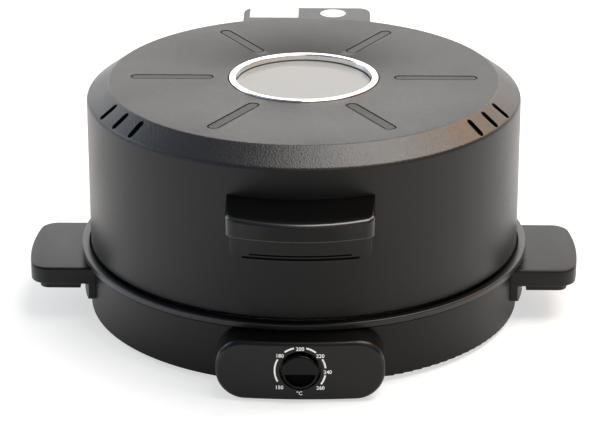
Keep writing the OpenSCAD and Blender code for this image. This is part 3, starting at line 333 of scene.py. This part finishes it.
def outline(start, legs, filled=True):
    """A flat face drawn from its first corner by straight moves, and by turns about a centre."""
    clear()
    bpy.ops.mesh.primitive_plane_add(size=0.01, location=start)
    piece = settle(bpy.context.object, "outline")
    edit(piece)
    bpy.ops.mesh.select_mode(type="VERT")
    bpy.ops.mesh.select_all(action="SELECT")
    bpy.ops.mesh.merge(type="CENTER")
    for leg in legs:
        if len(leg) == 3:
            bpy.ops.mesh.extrude_region_move(TRANSFORM_OT_translate={"value": leg})
        else:
            centre, angle = leg
            bpy.ops.mesh.spin(steps=max(8, int(angle * 8)), angle=-angle, center=centre, axis=(0, 0, 1))
    if filled:
        bpy.ops.mesh.select_all(action="SELECT")
        bpy.ops.mesh.remove_doubles(threshold=0.000001)
        bpy.ops.mesh.edge_face_add()
    return piece


def ring(name, corners, steps=240):
    """A closed body of revolution, drawn by the corners (radius, height) of its half section."""
    legs = [(after[0] - here[0], 0, after[1] - here[1])
            for here, after in zip(corners, corners[1:] + corners[:1])]
    piece = outline((corners[0][0], 0, corners[0][1]), legs, False)
    bpy.ops.mesh.select_all(action="SELECT")
    bpy.ops.mesh.spin(steps=steps, angle=2 * pi, center=(0, 0, 0), axis=(0, 0, 1))
    bpy.ops.mesh.select_all(action="SELECT")
    bpy.ops.mesh.remove_doubles(threshold=0.00001)
    face_out()
    return settle(piece, name)


def loop_at(piece, z):
    """Adds a level edge loop that keeps a rounding's shading to itself."""
    edit(piece)
    bpy.ops.mesh.select_all(action="SELECT")
    bpy.ops.mesh.bisect(plane_co=(0, 0, z), plane_no=(0, 0, 1))


def paint(piece, material, test):
    """Gives the faces that pass the test a further material."""
    piece.data.materials.append(material)
    edit(piece)
    choose(piece, "FACE", test)
    piece.active_material_index = len(piece.data.materials) - 1
    bpy.ops.object.material_slot_assign()
    clear()


trim_black = finish("trim_black", (0.005, 0.005, 0.005), 0.34, pebble=0.0006, depth=0.00001,
                    Specular_IOR_Level=0.5)
# A near-black matt paint for gaps, seams, grooves and vents: painted shade in these recesses
painted_shade_black = finish("painted_shade_black", (0.001, 0.001, 0.001), 0.7, pebble=0.0006, depth=0.00001,
                      Specular_IOR_Level=0.1)
trim_r, trim_in, trim_low, trim_high = 0.2085, 0.188, 0.0575, 0.0645
neck_r, web_low, seam_high, seam_depth = 0.1987, 0.0595, 0.0588, 0.0014
gutter_r, gutter_low = 0.2015, 0.061
trim = ring("trim_ring", [
    (trim_in, web_low), (neck_r, web_low), (neck_r, trim_low), (trim_r - seam_depth, trim_low),
    (trim_r - seam_depth, seam_high), (trim_r, seam_high), (trim_r, trim_high), (gutter_r, trim_high),
    (gutter_r, gutter_low), (trim_in, gutter_low)])
round_rim(trim, trim_r, trim_high, width=0.0015, segments=5)
round_rim(trim, trim_r, seam_high, width=0.0004, segments=2)
round_rim(trim, gutter_r, trim_high, width=0.0004, segments=2)
loop_at(trim, web_low)
loop_at(trim, trim_high - 0.002)
finished(trim, trim_black, "base", "base_rim", "base_rim")
# The gutter and the recessed strip under the band are painted black: painted shade in the gap and the seam
paint(trim, painted_shade_black, lambda f: from_axis(f) < gutter_r + 0.00005 or middle(f).z < seam_high)


# The underside and what is hidden: sheet covers, elements, clips, screws, ceramic and rubber,
# which keep their own shapes and get their finishes here: aluminised, zinc plated, bare or moulded.
aluminised = finish("aluminised_sheet", (0.56, 0.56, 0.55), 0.36, 0.25, 0.004, 0.00003, 1.0)
zinc = finish("zinc_plate", (0.5, 0.5, 0.49), 0.34, 0.2, 0.0006, 0.00001, 1.0)
dress(aluminised, "bottom_cover", "reflector", "window_clamp")
dress(zinc, "bottom_screws", "panel_screws", "thermostat_nut", "lower_clips", "handle_screws",
      "hinge_bracket_screws", "hinge_pin", "liner_screws", "upper_hangers",
      "rear_box_screws", "hinge_arms", "hinge_arm_screws", "thermostat_shaft")
rubber = finish("foot_rubber", (0.018, 0.018, 0.018), 0.8, 0.15, 0.0007, 0.00004)
dress(rubber, "rubber_feet", "cord_gland")
silicone = finish("seal_silicone", (0.05, 0.05, 0.05), 0.6, 0.1, 0.0006, 0.00001)
dress(silicone, "window_seal")
oxide = finish("element_oxide", (0.09, 0.085, 0.08), 0.5, 0.4, 0.0012, 0.00004, 0.6)
dress(oxide, "lower_element", "upper_element")
ceramic = finish("ceramic", (0.78, 0.75, 0.68), 0.55, 0.08, 0.0008, 0.00002)
dress(ceramic, "lower_insulators", "upper_insulators", "thermostat", "terminal_block")
copper = finish("copper_bulb", (0.66, 0.36, 0.2), 0.32, 0.3, 0.001, 0.00001, 1.0)
dress(copper, "sensing_bulb")
non_stick = finish("non_stick", (0.05, 0.05, 0.05), 0.45, 0.3, 0.0012, 0.00002, 0.2)
dress(non_stick, "baking_plate")
handle_black = finish("handle_black", (0.006, 0.0058, 0.0056), 0.4, pebble=0.0008, depth=0.00002,
                      Specular_IOR_Level=0.28)
dress(handle_black, "left_handle_cover", "right_handle_cover")
box_black = finish("box_black", (0.012, 0.0118, 0.0115), 0.38, pebble=0.0008, depth=0.00002)
dress(box_black, "rear_box_cover", "hinge_bracket")

# The lid's liner is bare inside. On the side that faces the lid shell, wherever its surface looks outwards
# or upwards,
# it is painted black: painted shade in the closed space that the vents look into
liner_sheet = finish("liner_sheet", (0.56, 0.56, 0.55), 0.36, 0.25, 0.004, 0.00003, 1.0)
sheet = liner_sheet.node_tree
sheet_shader = sheet.nodes["Principled BSDF"]
where = node(sheet, "ShaderNodeTexCoord").outputs
flat = node(sheet, "ShaderNodeVectorMath", {0: where["Object"], 1: (1, 1, 0)}, operation="MULTIPLY")
outward = node(sheet, "ShaderNodeVectorMath", {0: flat.outputs[0]}, operation="NORMALIZE")
outer = node(sheet, "ShaderNodeVectorMath", {0: outward.outputs[0], 1: (0, 0, 1)}, operation="ADD")
facing = node(sheet, "ShaderNodeVectorMath", {0: where["Normal"], 1: outer.outputs[0]},
              operation="DOT_PRODUCT")
painted_shade_side = maths(sheet, "GREATER_THAN", facing.outputs["Value"], 0.2)
bare_colour = sheet_shader.inputs["Base Color"].links[0].from_socket
sheet.links.new(mix(sheet, painted_shade_side, bare_colour, (0.004, 0.004, 0.004, 1)),
                sheet_shader.inputs["Base Color"])
sheet.links.new(maths(sheet, "SUBTRACT", 1.0, painted_shade_side), sheet_shader.inputs["Metallic"])
dress(liner_sheet, "lid_liner")


# The control panel: a glossy black ABS housing with round ends and a bowed face, screwed on
# from inside the casing, with the deep round recess that the dial knob turns in.
def span(edge):
    """How far an edge runs along X, Y and Z."""
    return Vector([abs(run) for run in edge.verts[0].co - edge.verts[1].co])


def sharp(edge, angle=1.0):
    return len(edge.link_faces) == 2 and edge.calc_face_angle(0) > angle


def block(name, low, high):
    """A block between its lowest and its highest corner."""
    clear()
    low, high = Vector(low), Vector(high)
    bpy.ops.mesh.primitive_cube_add(size=1, location=(low + high) / 2, scale=high - low)
    return settle(bpy.context.object, name)


casing_r, wall_lap = 0.201, 0.0004  # what stands on the casing's wall reaches a little into it
panel_half, panel_low, panel_high, panel_mid = 0.074, 0.0012, 0.0572, 0.03035
panel_reach, panel_bow_r, panel_corner, panel_edge = 0.230, 0.48, 0.025, 0.0046
recess_r, recess_depth, recess_edge = 0.0181, 0.008, 0.0005


def turned(radius, near, far, x=0.0, z=panel_mid, vertices=64):
    """A cylinder towards the front, between two distances from the cooker's middle."""
    return cylinder(radius, far - near, (x, -(near + far) / 2, z), (pi / 2, 0, 0), vertices)


def from_dial(item):
    """How far the middle of a face or an edge is from the dial's axis."""
    return sqrt(middle(item).x ** 2 + (middle(item).z - panel_mid) ** 2)


panel = block("panel_housing", (-panel_half, -panel_reach - 0.004, panel_low),
              (panel_half, -panel_reach + 0.036, panel_high))
soften(panel, panel_corner, 24, lambda e: span(e).y > 0.03)
cut(panel, cylinder(panel_bow_r, 0.2, (0, panel_bow_r - panel_reach, panel_mid), vertices=480), "INTERSECT")
cut(panel, cylinder(casing_r - wall_lap, 0.2, (0, 0, panel_mid)))
soften(panel, panel_edge, 6, lambda e: sharp(e, 0.6) and middle(e).y < -panel_reach + 0.0135,
       loop_slide=False)
recess_floor = panel_reach - recess_depth
cut(panel, turned(recess_r, recess_floor, recess_floor + 0.02, vertices=96))
soften(panel, recess_edge, 2, lambda e: sharp(e, 0.6) and middle(e).y < -panel_reach + 0.0015
       and from_dial(e) < recess_r + 0.0005)
panel_black = finish("panel_black", (0.004, 0.004, 0.004), 0.3, pebble=0.0007, depth=0.000008,
                     Specular_IOR_Level=0.4)
finished(panel, panel_black, "base", "panel", "control_panel")
apply(panel, "WEIGHTED_NORMAL", keep_sharp=True, weight=80)


# The dial's print: white numbers and arcs round the recess, a film of paint on the bowed face.
# Each mark is drawn flat, stood up before the panel, laid on its face and made a film thick.
def stand_up(mark, x=0.0, z=0.0):
    """Stands a flat mark up in front of the panel, a little clear of it."""
    mark.rotation_euler = (pi / 2, 0, 0)
    mark.location = (x, -panel_reach - 0.002, panel_mid + z)
    return settle(mark, "mark")


def mark_text(text, x, z, size=0.0048, weight=0.00008):
    clear()
    bpy.ops.object.text_add()
    words = bpy.context.object
    words.data.body = text
    words.data.size = size
    words.data.align_x = "CENTER"
    words.data.align_y = "CENTER"
    words.data.resolution_u = 3
    words.data.offset = weight
    bpy.ops.object.convert(target="MESH")
    return stand_up(bpy.context.object, x, z)


def mark_arc(start, end, radius=0.0222, width=0.0015):
    """A band of small faces from one angle to another, counted from the right, upwards."""
    towards = Vector((cos(radians(start)), sin(radians(start)), 0))
    band = outline(towards * (radius + width / 2), [tuple(-width * towards)], False)
    bpy.ops.mesh.select_all(action="SELECT")
    bpy.ops.mesh.spin(steps=12, angle=radians(start - end), center=(0, 0, 0), axis=(0, 0, 1))
    return stand_up(band)


film_thick, film_lift = 0.00014, 0.00007
marks = [mark_text(text, x, z) for text, x, z in (
    ("150", -0.0182, -0.0162), ("180", -0.0177, 0.0140), ("200", 0.0, 0.0207), ("220", 0.0175, 0.0140),
    ("240", 0.0240, -0.0014), ("260", 0.0177, -0.0165), ("°C", -0.0006, -0.0216))]
marks += [mark_arc(start, end) for start, end in ((208, 151), (127, 104), (76, 52), (30, 6.5), (-11, -35))]
clear()
for mark in marks:
    mark.select_set(True)
bpy.context.view_layer.objects.active = marks[0]
bpy.ops.object.join()
dial_print = bpy.context.object
apply(dial_print, "SHRINKWRAP", target=panel, wrap_method="PROJECT", use_project_y=True,
      use_positive_direction=True, use_negative_direction=False, offset=film_lift)
edit(dial_print)
face_out()
apply(dial_print, "SOLIDIFY", thickness=film_thick, offset=-1)
settle(dial_print, "dial_print")
# White print, which also glows a little: painted light on the panel's dimly lit face
print_white_and_glow = finish("print_white_and_glow", (0.9, 0.9, 0.89), 0.5, 0.06, 0.0004, 0.000003,
                     Emission_Color=white, Emission_Strength=0.3)
finished(dial_print, print_white_and_glow, "base", "panel")


# The dial knob: gloss black, nearly flush, turned by the half-round pocket in its face, and
# bored at the back for the thermostat's nut and its shaft.
def slice_off(place, facing):
    """In edit mode, cuts off what lies beyond a plane and closes the cut."""
    bpy.ops.mesh.select_all(action="SELECT")
    bpy.ops.mesh.bisect(plane_co=place, plane_no=facing, use_fill=True, clear_outer=True)


knob_r, knob_back, knob_tip, knob_edge = 0.0158, 0.2226, 0.234, 0.002
pocket_r, pocket_drop, pocket_floor = 0.0136, 0.0018, 0.230
nut_bore, shaft_bore = (0.009, 0.0041, 64), (0.0032, 0.0066, 48)  # radius, depth and vertices
knob = turned(knob_r, knob_back, knob_tip, vertices=128)
soften(knob, knob_edge, 6, lambda e: sharp(e) and middle(e).y < -knob_tip + 1e-5)
pocket = turned(pocket_r, pocket_floor, pocket_floor + 0.01, vertices=128)
edit(pocket)
slice_off((0, 0, panel_mid - pocket_drop), (0, 0, 1))
cut(knob, pocket)
for radius, deep, vertices in (nut_bore, shaft_bore):
    cut(knob, turned(radius, knob_back - deep, knob_back + deep, vertices=vertices))
settle(knob, "dial_knob")
knob_black = finish("knob_black", (0.002, 0.002, 0.002), 0.2, 0.05, 0.0006, 0.000002,
                    Specular_IOR_Level=0.25)
# The pocket is painted near black: painted shade under the upper half of the knob's face
pocket_painted_shade = finish("pocket_painted_shade", (0.001, 0.001, 0.001), 0.6, 0.05, 0.0006, 0.000004,
                      Specular_IOR_Level=0.05)
finished(knob, knob_black, "knob", "knob", "thermostat_knob")
paint(knob, pocket_painted_shade, lambda f: pocket_floor - 0.001 < -middle(f).y < knob_tip - 0.0006
      and from_dial(f) < pocket_r + 0.0001)


# The side handles: moulded plates with round corners and a soft upper edge, their outer sides
# concentric with the base, each on a flange that is screwed on from inside the casing.
plate_back = 0.17  # plates begin inside the wall, which then cuts them to its own radius


def bowed_plate(name, reach, bow_r, half, corner, low, high):
    """A plate towards -Y with a bowed front, round front corners and straight sides."""
    bow_y, across = bow_r - reach, half - corner
    along = sqrt((bow_r - corner) ** 2 - across ** 2)
    corner_y, turn = bow_y - along, atan2(across, along)
    piece = outline((-half, -plate_back, low), [
        (0, corner_y + plate_back, 0), ((-across, corner_y, low), pi / 2 - turn),
        ((0, bow_y, low), 2 * turn), ((across, corner_y, low), pi / 2 - turn),
        (0, -plate_back - corner_y, 0)])
    bpy.ops.mesh.select_all(action="SELECT")
    bpy.ops.mesh.extrude_region_move(TRANSFORM_OT_translate={"value": (0, 0, high - low)})
    face_out()
    return settle(piece, name)


def in_front(edge):
    """Whether an edge stands clear of the plate's back, which the wall cuts away."""
    return middle(edge).y < -plate_back - 0.001


handle_low, handle_high, handle_reach, handle_half, handle_corner = 0.036, 0.052, 0.257, 0.057, 0.017
flange_low, flange_high, flange_half, flange_thick, flange_corner = 0.019, 0.0465, 0.0568, 0.006, 0.006
for side, turn in (("left", -pi / 2), ("right", pi / 2)):
    plate = bowed_plate(side + "_handle_moulding", handle_reach, handle_reach, handle_half, handle_corner,
                        handle_low, handle_high)
    for level, width, segments in ((handle_high, 0.0022, 5), (handle_low, 0.0012, 3)):
        soften(plate, width, segments, lambda e: span(e).z < 1e-6 and abs(middle(e).z - level) < 1e-5
               and in_front(e))
    flange = block("flange", (-flange_half, -casing_r - 0.014, flange_low),
                   (flange_half, -casing_r + 0.046, flange_high))
    soften(flange, flange_corner, 6, lambda e: span(e).y > 0.05 and middle(e).z < flange_low + 0.001)
    cut(flange, cylinder(casing_r + flange_thick, 0.1, (0, 0, 0.04)), "INTERSECT")
    apply(flange, "BEVEL", width=0.0012, segments=3, limit_method="ANGLE", angle_limit=radians(50))
    cut(plate, flange, "UNION")
    cut(plate, cylinder(casing_r - wall_lap / 2, 0.2, (0, 0, 0.04)))
    plate.rotation_euler = (0, 0, turn)
    settle(plate, side + "_handle_moulding")
    finished(plate, handle_black, "base", "handle", side + "_handle")


# The lid's grip: a hollow gloss black moulding with a bowed front, a top that falls to it and a lower edge
# painted lighter as a highlight, seated on the lid's wall and held by bolts from inside.
lid_r, seat_gap = 0.200, 0.0002
grip_low, grip_high, grip_reach, grip_half, grip_corner = 0.1568, 0.1778, 0.247, 0.064, 0.0125
grip_bow_r, grip_wall, hollow_depth, upper_edge, lower_edge = 0.155, 0.004, 0.012, 0.003, 0.0014
grip = bowed_plate("grip_moulding", grip_reach, grip_bow_r, grip_half, grip_corner,
                   grip_low, grip_high + 0.004)
edit(grip)
slice_off((0, -lid_r, grip_high), (0, -0.005, 0.047))
face_out()
soften(grip, upper_edge, 6, lambda e: sharp(e) and in_front(e)
       and middle(e).z > grip_low + hollow_depth and span(e).z < 0.005)
choose(grip, "FACE", lambda f: f.normal.z < -0.99)
bpy.ops.mesh.inset(thickness=grip_wall, depth=0)
bpy.ops.mesh.extrude_region_move(TRANSFORM_OT_translate={"value": (0, 0, hollow_depth)})
soften(grip, lower_edge, 3, lambda e: sharp(e) and in_front(e) and middle(e).z < grip_low + 1e-5)
cut(grip, cylinder(lid_r + seat_gap, 0.2, (0, 0, 0.17)))
grip_black = finish("grip_black", (0.003, 0.003, 0.003), 0.14, 0.05, 0.0006, 0.000002,
                    Specular_IOR_Level=0.26)
finished(grip, grip_black, "lid", "grip", "lid_handle")
# The grip's lower rounded edge is painted lighter: a painted highlight
painted_lower_highlight = finish("painted_lower_highlight", (0.04, 0.04, 0.04), 0.4, 0.2, 0.0006, 0.000004)
grip_edge = finish("grip_edge", (0.003, 0.003, 0.003), 0.2, 0.05, 0.0006, 0.000002, Specular_IOR_Level=0.9)
paint(grip, painted_lower_highlight, lambda f: middle(f).z < grip_low + lower_edge - 0.00015
      and middle(f).y < -lid_r - 0.005 and -0.95 < f.normal.z < -0.1)
paint(grip, grip_edge, lambda f: middle(f).z > grip_low + hollow_depth and middle(f).y < -lid_r
      and 0.15 < f.normal.z < 0.985)
apply(grip, "WEIGHTED_NORMAL", keep_sharp=True, weight=80)


# The plate behind the grip: a thin moulding of the wall's own curve with two grooves low down, painted black
# as shade, screwed on together with the grip from inside the lid.
plate_low, plate_high, plate_mid, plate_half, plate_corner = 0.1208, 0.1698, 0.145, 0.0615, 0.0095
plate_r, plate_gap, plate_edge_w, line_depth = 0.2035, 0.00015, 0.0012, 0.0011
lower_line, upper_line = (0.1226, 0.1246, 0.051), (0.1259, 0.1273, 0.0445)  # bottom, top, half length
backplate = block("grip_backplate", (-plate_half, -lid_r - 0.015, plate_low),
                  (plate_half, -lid_r + 0.035, plate_high))
soften(backplate, plate_corner, 10, lambda e: span(e).y > 0.04)
cut(backplate, cylinder(plate_r, 0.2, (0, 0, plate_mid)), "INTERSECT")
cut(backplate, cylinder(lid_r + plate_gap, 0.2, (0, 0, plate_mid)))
apply(backplate, "BEVEL", width=plate_edge_w, segments=3, limit_method="ANGLE", angle_limit=radians(60))
floor_r, past_r = plate_r - line_depth, plate_r - line_depth + 0.006
for line_low, line_high, line_half in (lower_line, upper_line):
    line = ring("line_cutter", [
        (floor_r, line_low), (past_r, line_low), (past_r, line_high), (floor_r, line_high)], 360)
    edit(line)
    slice_off((line_half, 0, 0), (1, 0, 0))
    slice_off((-line_half, 0, 0), (-1, 0, 0))
    slice_off((0, 0, 0), (0, 1, 0))
    cut(backplate, line)

# The upper bolts reach into the grip and the lower ones end inside the plate
bolt_x, bolt_r, bore_r, head_r, head_low, head_high = 0.0495, 0.0016, 0.0018, 0.0032, 0.1882, 0.1896
slot_half, slot_w, slot_depth = 0.0018, 0.0008, 0.0008
upper_row, lower_row = (0.1638, 0.2022, 0.203), (0.1358, 0.1962, 0.1965)  # height, tip, end of bore
bolts = [(x, z, tip, bore_end) for z, tip, bore_end in (upper_row, lower_row) for x in (-bolt_x, bolt_x)]
for x, z, tip, bore_end in bolts:
    cut(backplate, turned(bore_r, bore_end - 0.02, bore_end, x, z, 32))
plate_black = finish("plate_black", (0.005, 0.005, 0.005), 0.3, pebble=0.0008, depth=0.00001,
                     Specular_IOR_Level=0.3)
finished(backplate, plate_black, "lid", "plate", "lid_handle_plate")
# The plate's rounded rim is painted lighter: a painted highlight round its outline
plate_edge_highlight = finish("plate_edge_highlight", (0.16, 0.16, 0.157), 0.4, 0.2, 0.0006, 0.000004)
paint(backplate, plate_edge_highlight, lambda f: plate_r - plate_edge_w - 0.0001 < from_axis(f) < plate_r - 0.00003)
# The two grooves are painted black: painted shade in them
paint(backplate, painted_shade_black, lambda f: lower_line[0] - 0.0006 < middle(f).z < upper_line[1] + 0.0003
      and abs(middle(f).x) < lower_line[2] + 0.001 and plate_r - 0.002 < from_axis(f) < plate_r - 0.0003)

for number, (x, z, tip, bore_end) in enumerate(bolts, 1):
    bolt = turned(bolt_r, head_high - 0.0004, tip, x, z, 32)
    head = turned(head_r, head_low, head_high, x, z, 48)
    apply(head, "BEVEL", width=0.0004, segments=3, limit_method="ANGLE", angle_limit=radians(50))
    for wide, high in ((slot_half, slot_w / 2), (slot_w / 2, slot_half)):
        cut(head, block("cutter", (x - wide, -head_low - slot_depth, z - high),
                        (x + wide, -head_low + slot_depth, z + high)))
    cut(bolt, head, "UNION")
    settle(bolt, "grip_bolt_%d" % number)
    finished(bolt, zinc, "lid", "plate", *(["lid_handle_screws"] if number == 1 else []))


# The lid: a deep drawn shell with a flat satin top, a sloping shoulder with a leather grain and
# a finely grained wall. Six shallow grooves lead to the window, and three vents open each side.
def slot_cutter(length, width, depth, middle_r, z, angle):
    """A prism with half-round ends, laid along a radius."""
    place, half = Vector((middle_r, 0, z)), Vector((length, width, depth)) / 2
    piece = block("cutter", place - half, place + half)
    soften(piece, width / 2 - 0.00002, 10, lambda e: span(e).z > depth / 2)
    clear()
    piece.rotation_euler = (0, 0, radians(angle))
    return settle(piece, "cutter")


lid_low, lid_high, wall_high, flat_r = 0.0665, 0.2204, 0.2058, 0.1796
hole_r, window_r, window_depth, flat_step = 0.0642, 0.0698, 0.0007, 0.0022
inner_r, inner_flat_r, inner_wall_high, inner_high = 0.197, 0.1781, 0.2037, 0.2164
seat_high = lid_high - window_depth
lid = ring("lid_moulding", [
    (hole_r, inner_high), (inner_flat_r, inner_high), (inner_r, inner_wall_high), (inner_r, lid_low),
    (lid_r, lid_low), (lid_r, wall_high), (flat_r, lid_high), (flat_r - flat_step, lid_high),
    (window_r, lid_high), (window_r, seat_high), (hole_r, seat_high)])
round_rim(lid, lid_r, wall_high, width=0.0021, segments=8)
round_rim(lid, flat_r, lid_high, width=0.0007, segments=3)
round_rim(lid, lid_r, lid_low, width=0.0006, segments=3)
round_rim(lid, window_r, lid_high, width=0.0003, segments=2)
for height in (lid_low + 0.0011, wall_high - 0.0032, wall_high + 0.002, lid_high - 0.0012):
    loop_at(lid, height)

# Each groove is a shallow floor with a channel all round it: the channel painted black, a painted shade, and
# the floor painted darker and brown, a painted reflection
groove_length, groove_w, groove_r = 0.077, 0.012, 0.1215
channel_w, channel_depth, floor_depth, floor_lap = 0.0016, 0.00035, 0.0002, 0.00035


def groove_cutter(margin, depth, angle):
    """The groove's outline drawn in by a margin, to a depth below the lid's top."""
    return slot_cutter(groove_length - 2 * margin, groove_w - 2 * margin, 2 * depth,
                       groove_r, lid_high, angle)


for angle in range(0, 360, 60):
    channel = groove_cutter(0, channel_depth, angle)
    cut(channel, groove_cutter(channel_w, 0.002, angle))
    cut(lid, channel)
    cut(lid, groove_cutter(channel_w - floor_lap, floor_depth, angle))

vent_length, vent_w, vent_depth, vent_r, vent_z = 0.0163, 0.0064, 0.04, 0.19005, 0.212
vent_angles = (-156.2, -148.2, -140.3, -36.5, -28.8, -21.0)
for angle in vent_angles:
    cut(lid, slot_cutter(vent_length, vent_w, vent_depth, vent_r, vent_z, angle))
# The flat top is a lighter grey than the wall: partly its own satin tone, partly a painted sheen
lid_top = finish("lid_top", (0.027, 0.0257, 0.0247), 0.42, pebble=0.0007, depth=0.000008,
                 Specular_IOR_Level=0.4)
# The grooves' floors are painted darker and brown: a painted warm reflection
groove_painted_reflection = finish("groove_painted_reflection", (0.018, 0.0115, 0.0088), 0.42, pebble=0.0007, depth=0.000006,
                    Specular_IOR_Level=0.25)
lid_shoulder = finish("lid_shoulder", (0.007, 0.007, 0.007), 0.38, pebble=0.0017, depth=0.00013,
                      Specular_IOR_Level=0.7)
lid_wall = finish("lid_wall", (0.006, 0.006, 0.006), 0.38, pebble=0.0011, depth=0.00002,
                  Specular_IOR_Level=0.3)
lid_inside = finish("lid_inside", (0.006, 0.006, 0.006), 0.5, pebble=0.001, depth=0.00001)
finished(lid, lid_wall, "lid", "lid_shell", "lid_shell")


def sunk(face):
    """How far the middle of a face is below the lid's flat top."""
    return lid_high - middle(face).z


def in_groove(face):
    return 0.08 < from_axis(face) < 0.165


paint(lid, lid_top, lambda f: f.normal.z > 0.98 and sunk(f) < 0.0008)
paint(lid, groove_painted_reflection, lambda f: abs(sunk(f) - floor_depth) < 0.00002 and in_groove(f))
# The grooves' channels, the ledge round the window's ring and the vents' walls are painted black: painted
# shade in these recesses
paint(lid, painted_shade_black, lambda f: floor_depth + 0.00002 < sunk(f) < channel_depth + 0.00005 and in_groove(f)
      or 0.0002 < sunk(f) < 0.0009 and hole_r + 0.0003 < from_axis(f) < window_r + 0.0001
      or abs(f.normal.z) < 0.2 and sunk(f) < 0.0204 and flat_r - 0.0006 < from_axis(f) < inner_r - 0.0004)
paint(lid, lid_shoulder, lambda f: f.normal.z > 0.25 and from_axis(f) > flat_r - 0.0006)
paint(lid, lid_inside, lambda f: f.normal.z < -0.1 and middle(f).z > lid_low + 0.0035)


# The window: a ring of polished metal pressed into the lid's hole, over tempered glass that is
# clamped from inside on a silicone seal.
bezel_r, bezel_in, neck_out, bezel_low, bezel_high = 0.069, 0.0624, 0.064, 0.2166, 0.2215
bezel = ring("bezel_ring", [
    (bezel_in, bezel_low), (neck_out, bezel_low), (neck_out, seat_high), (bezel_r, seat_high),
    (bezel_r, bezel_high), (bezel_in, bezel_high)])
round_rim(bezel, bezel_r, bezel_high, width=0.0012, segments=6)
round_rim(bezel, bezel_in, bezel_high, width=0.0014, segments=6)
polished = finish("polished_ring", (0.9, 0.9, 0.89), 0.07, 0.03, 0.001, 0.000001, 1.0)
finished(bezel, polished, "lid", "bezel", "window_bezel")
# The glass has a diffuse pale grey with little transmission, standing for the room's reflection in it: a
# painted reflection
glass = finish("window_glass", (0.5, 0.505, 0.5), 0.07, 0.02, 0.004, 0.000001,
               Transmission_Weight=0.3, IOR=1.1)
dress(glass, "window_glass")


# The rear box: a satin moulding with round corners and a soft top edge, open below, that stands
# on the lid's wall over the hinge arms and carries two stickers.
box_low, box_high, box_reach, box_half = 0.0707, 0.2102, 0.247, 0.0635
box_corner, box_wall, box_edge, box_front = 0.012, 0.003, 0.0035, 0.18
housing = block("rear_housing", (-box_half, box_front, box_low), (box_half, box_reach, box_high))
soften(housing, box_corner, 12, lambda e: span(e).z > 0.1 and middle(e).y > lid_r)
choose(housing, "FACE", lambda f: f.normal.z < -0.99)
bpy.ops.mesh.inset(thickness=box_wall, depth=0)
bpy.ops.mesh.extrude_region_move(TRANSFORM_OT_translate={"value": (0, 0, box_high - box_low - box_wall)})
soften(housing, box_edge, 6, lambda e: middle(e).z > box_high - 1e-5 and middle(e).y > box_front + 0.001)
cut(housing, cylinder(lid_r + seat_gap, 0.3, (0, 0, 0.14)))
finished(housing, box_black, "lid", "box", "rear_box")

# Two blank stickers of white film, 0.1 mm thick, lie on the box's top
film = finish("sticker_film", (0.86, 0.86, 0.84), 0.45, 0.03, 0.0008, 0.000001)
film_low, film_high = box_high - 0.00002, box_high + 0.0001
label_x, label_y, label_w, label_l = -0.0327, 0.2275, 0.0485, 0.031
label = block("blank_sticker", (label_x - label_w / 2, label_y - label_l / 2, film_low),
              (label_x + label_w / 2, label_y + label_l / 2, film_high))
soften(label, 0.0012, 4, lambda e: span(e).z > 0.0001)
finished(label, film, "lid", "box")
round_x, round_y, round_r = 0.0262, 0.2265, 0.0128
round_label = cylinder(round_r, film_high - film_low, (round_x, round_y, (film_low + film_high) / 2),
                       vertices=96)
apply(round_label, "BEVEL", width=0.00004, segments=1, limit_method="ANGLE", angle_limit=radians(50))
settle(round_label, "round_sticker")
finished(round_label, film, "lid", "box")
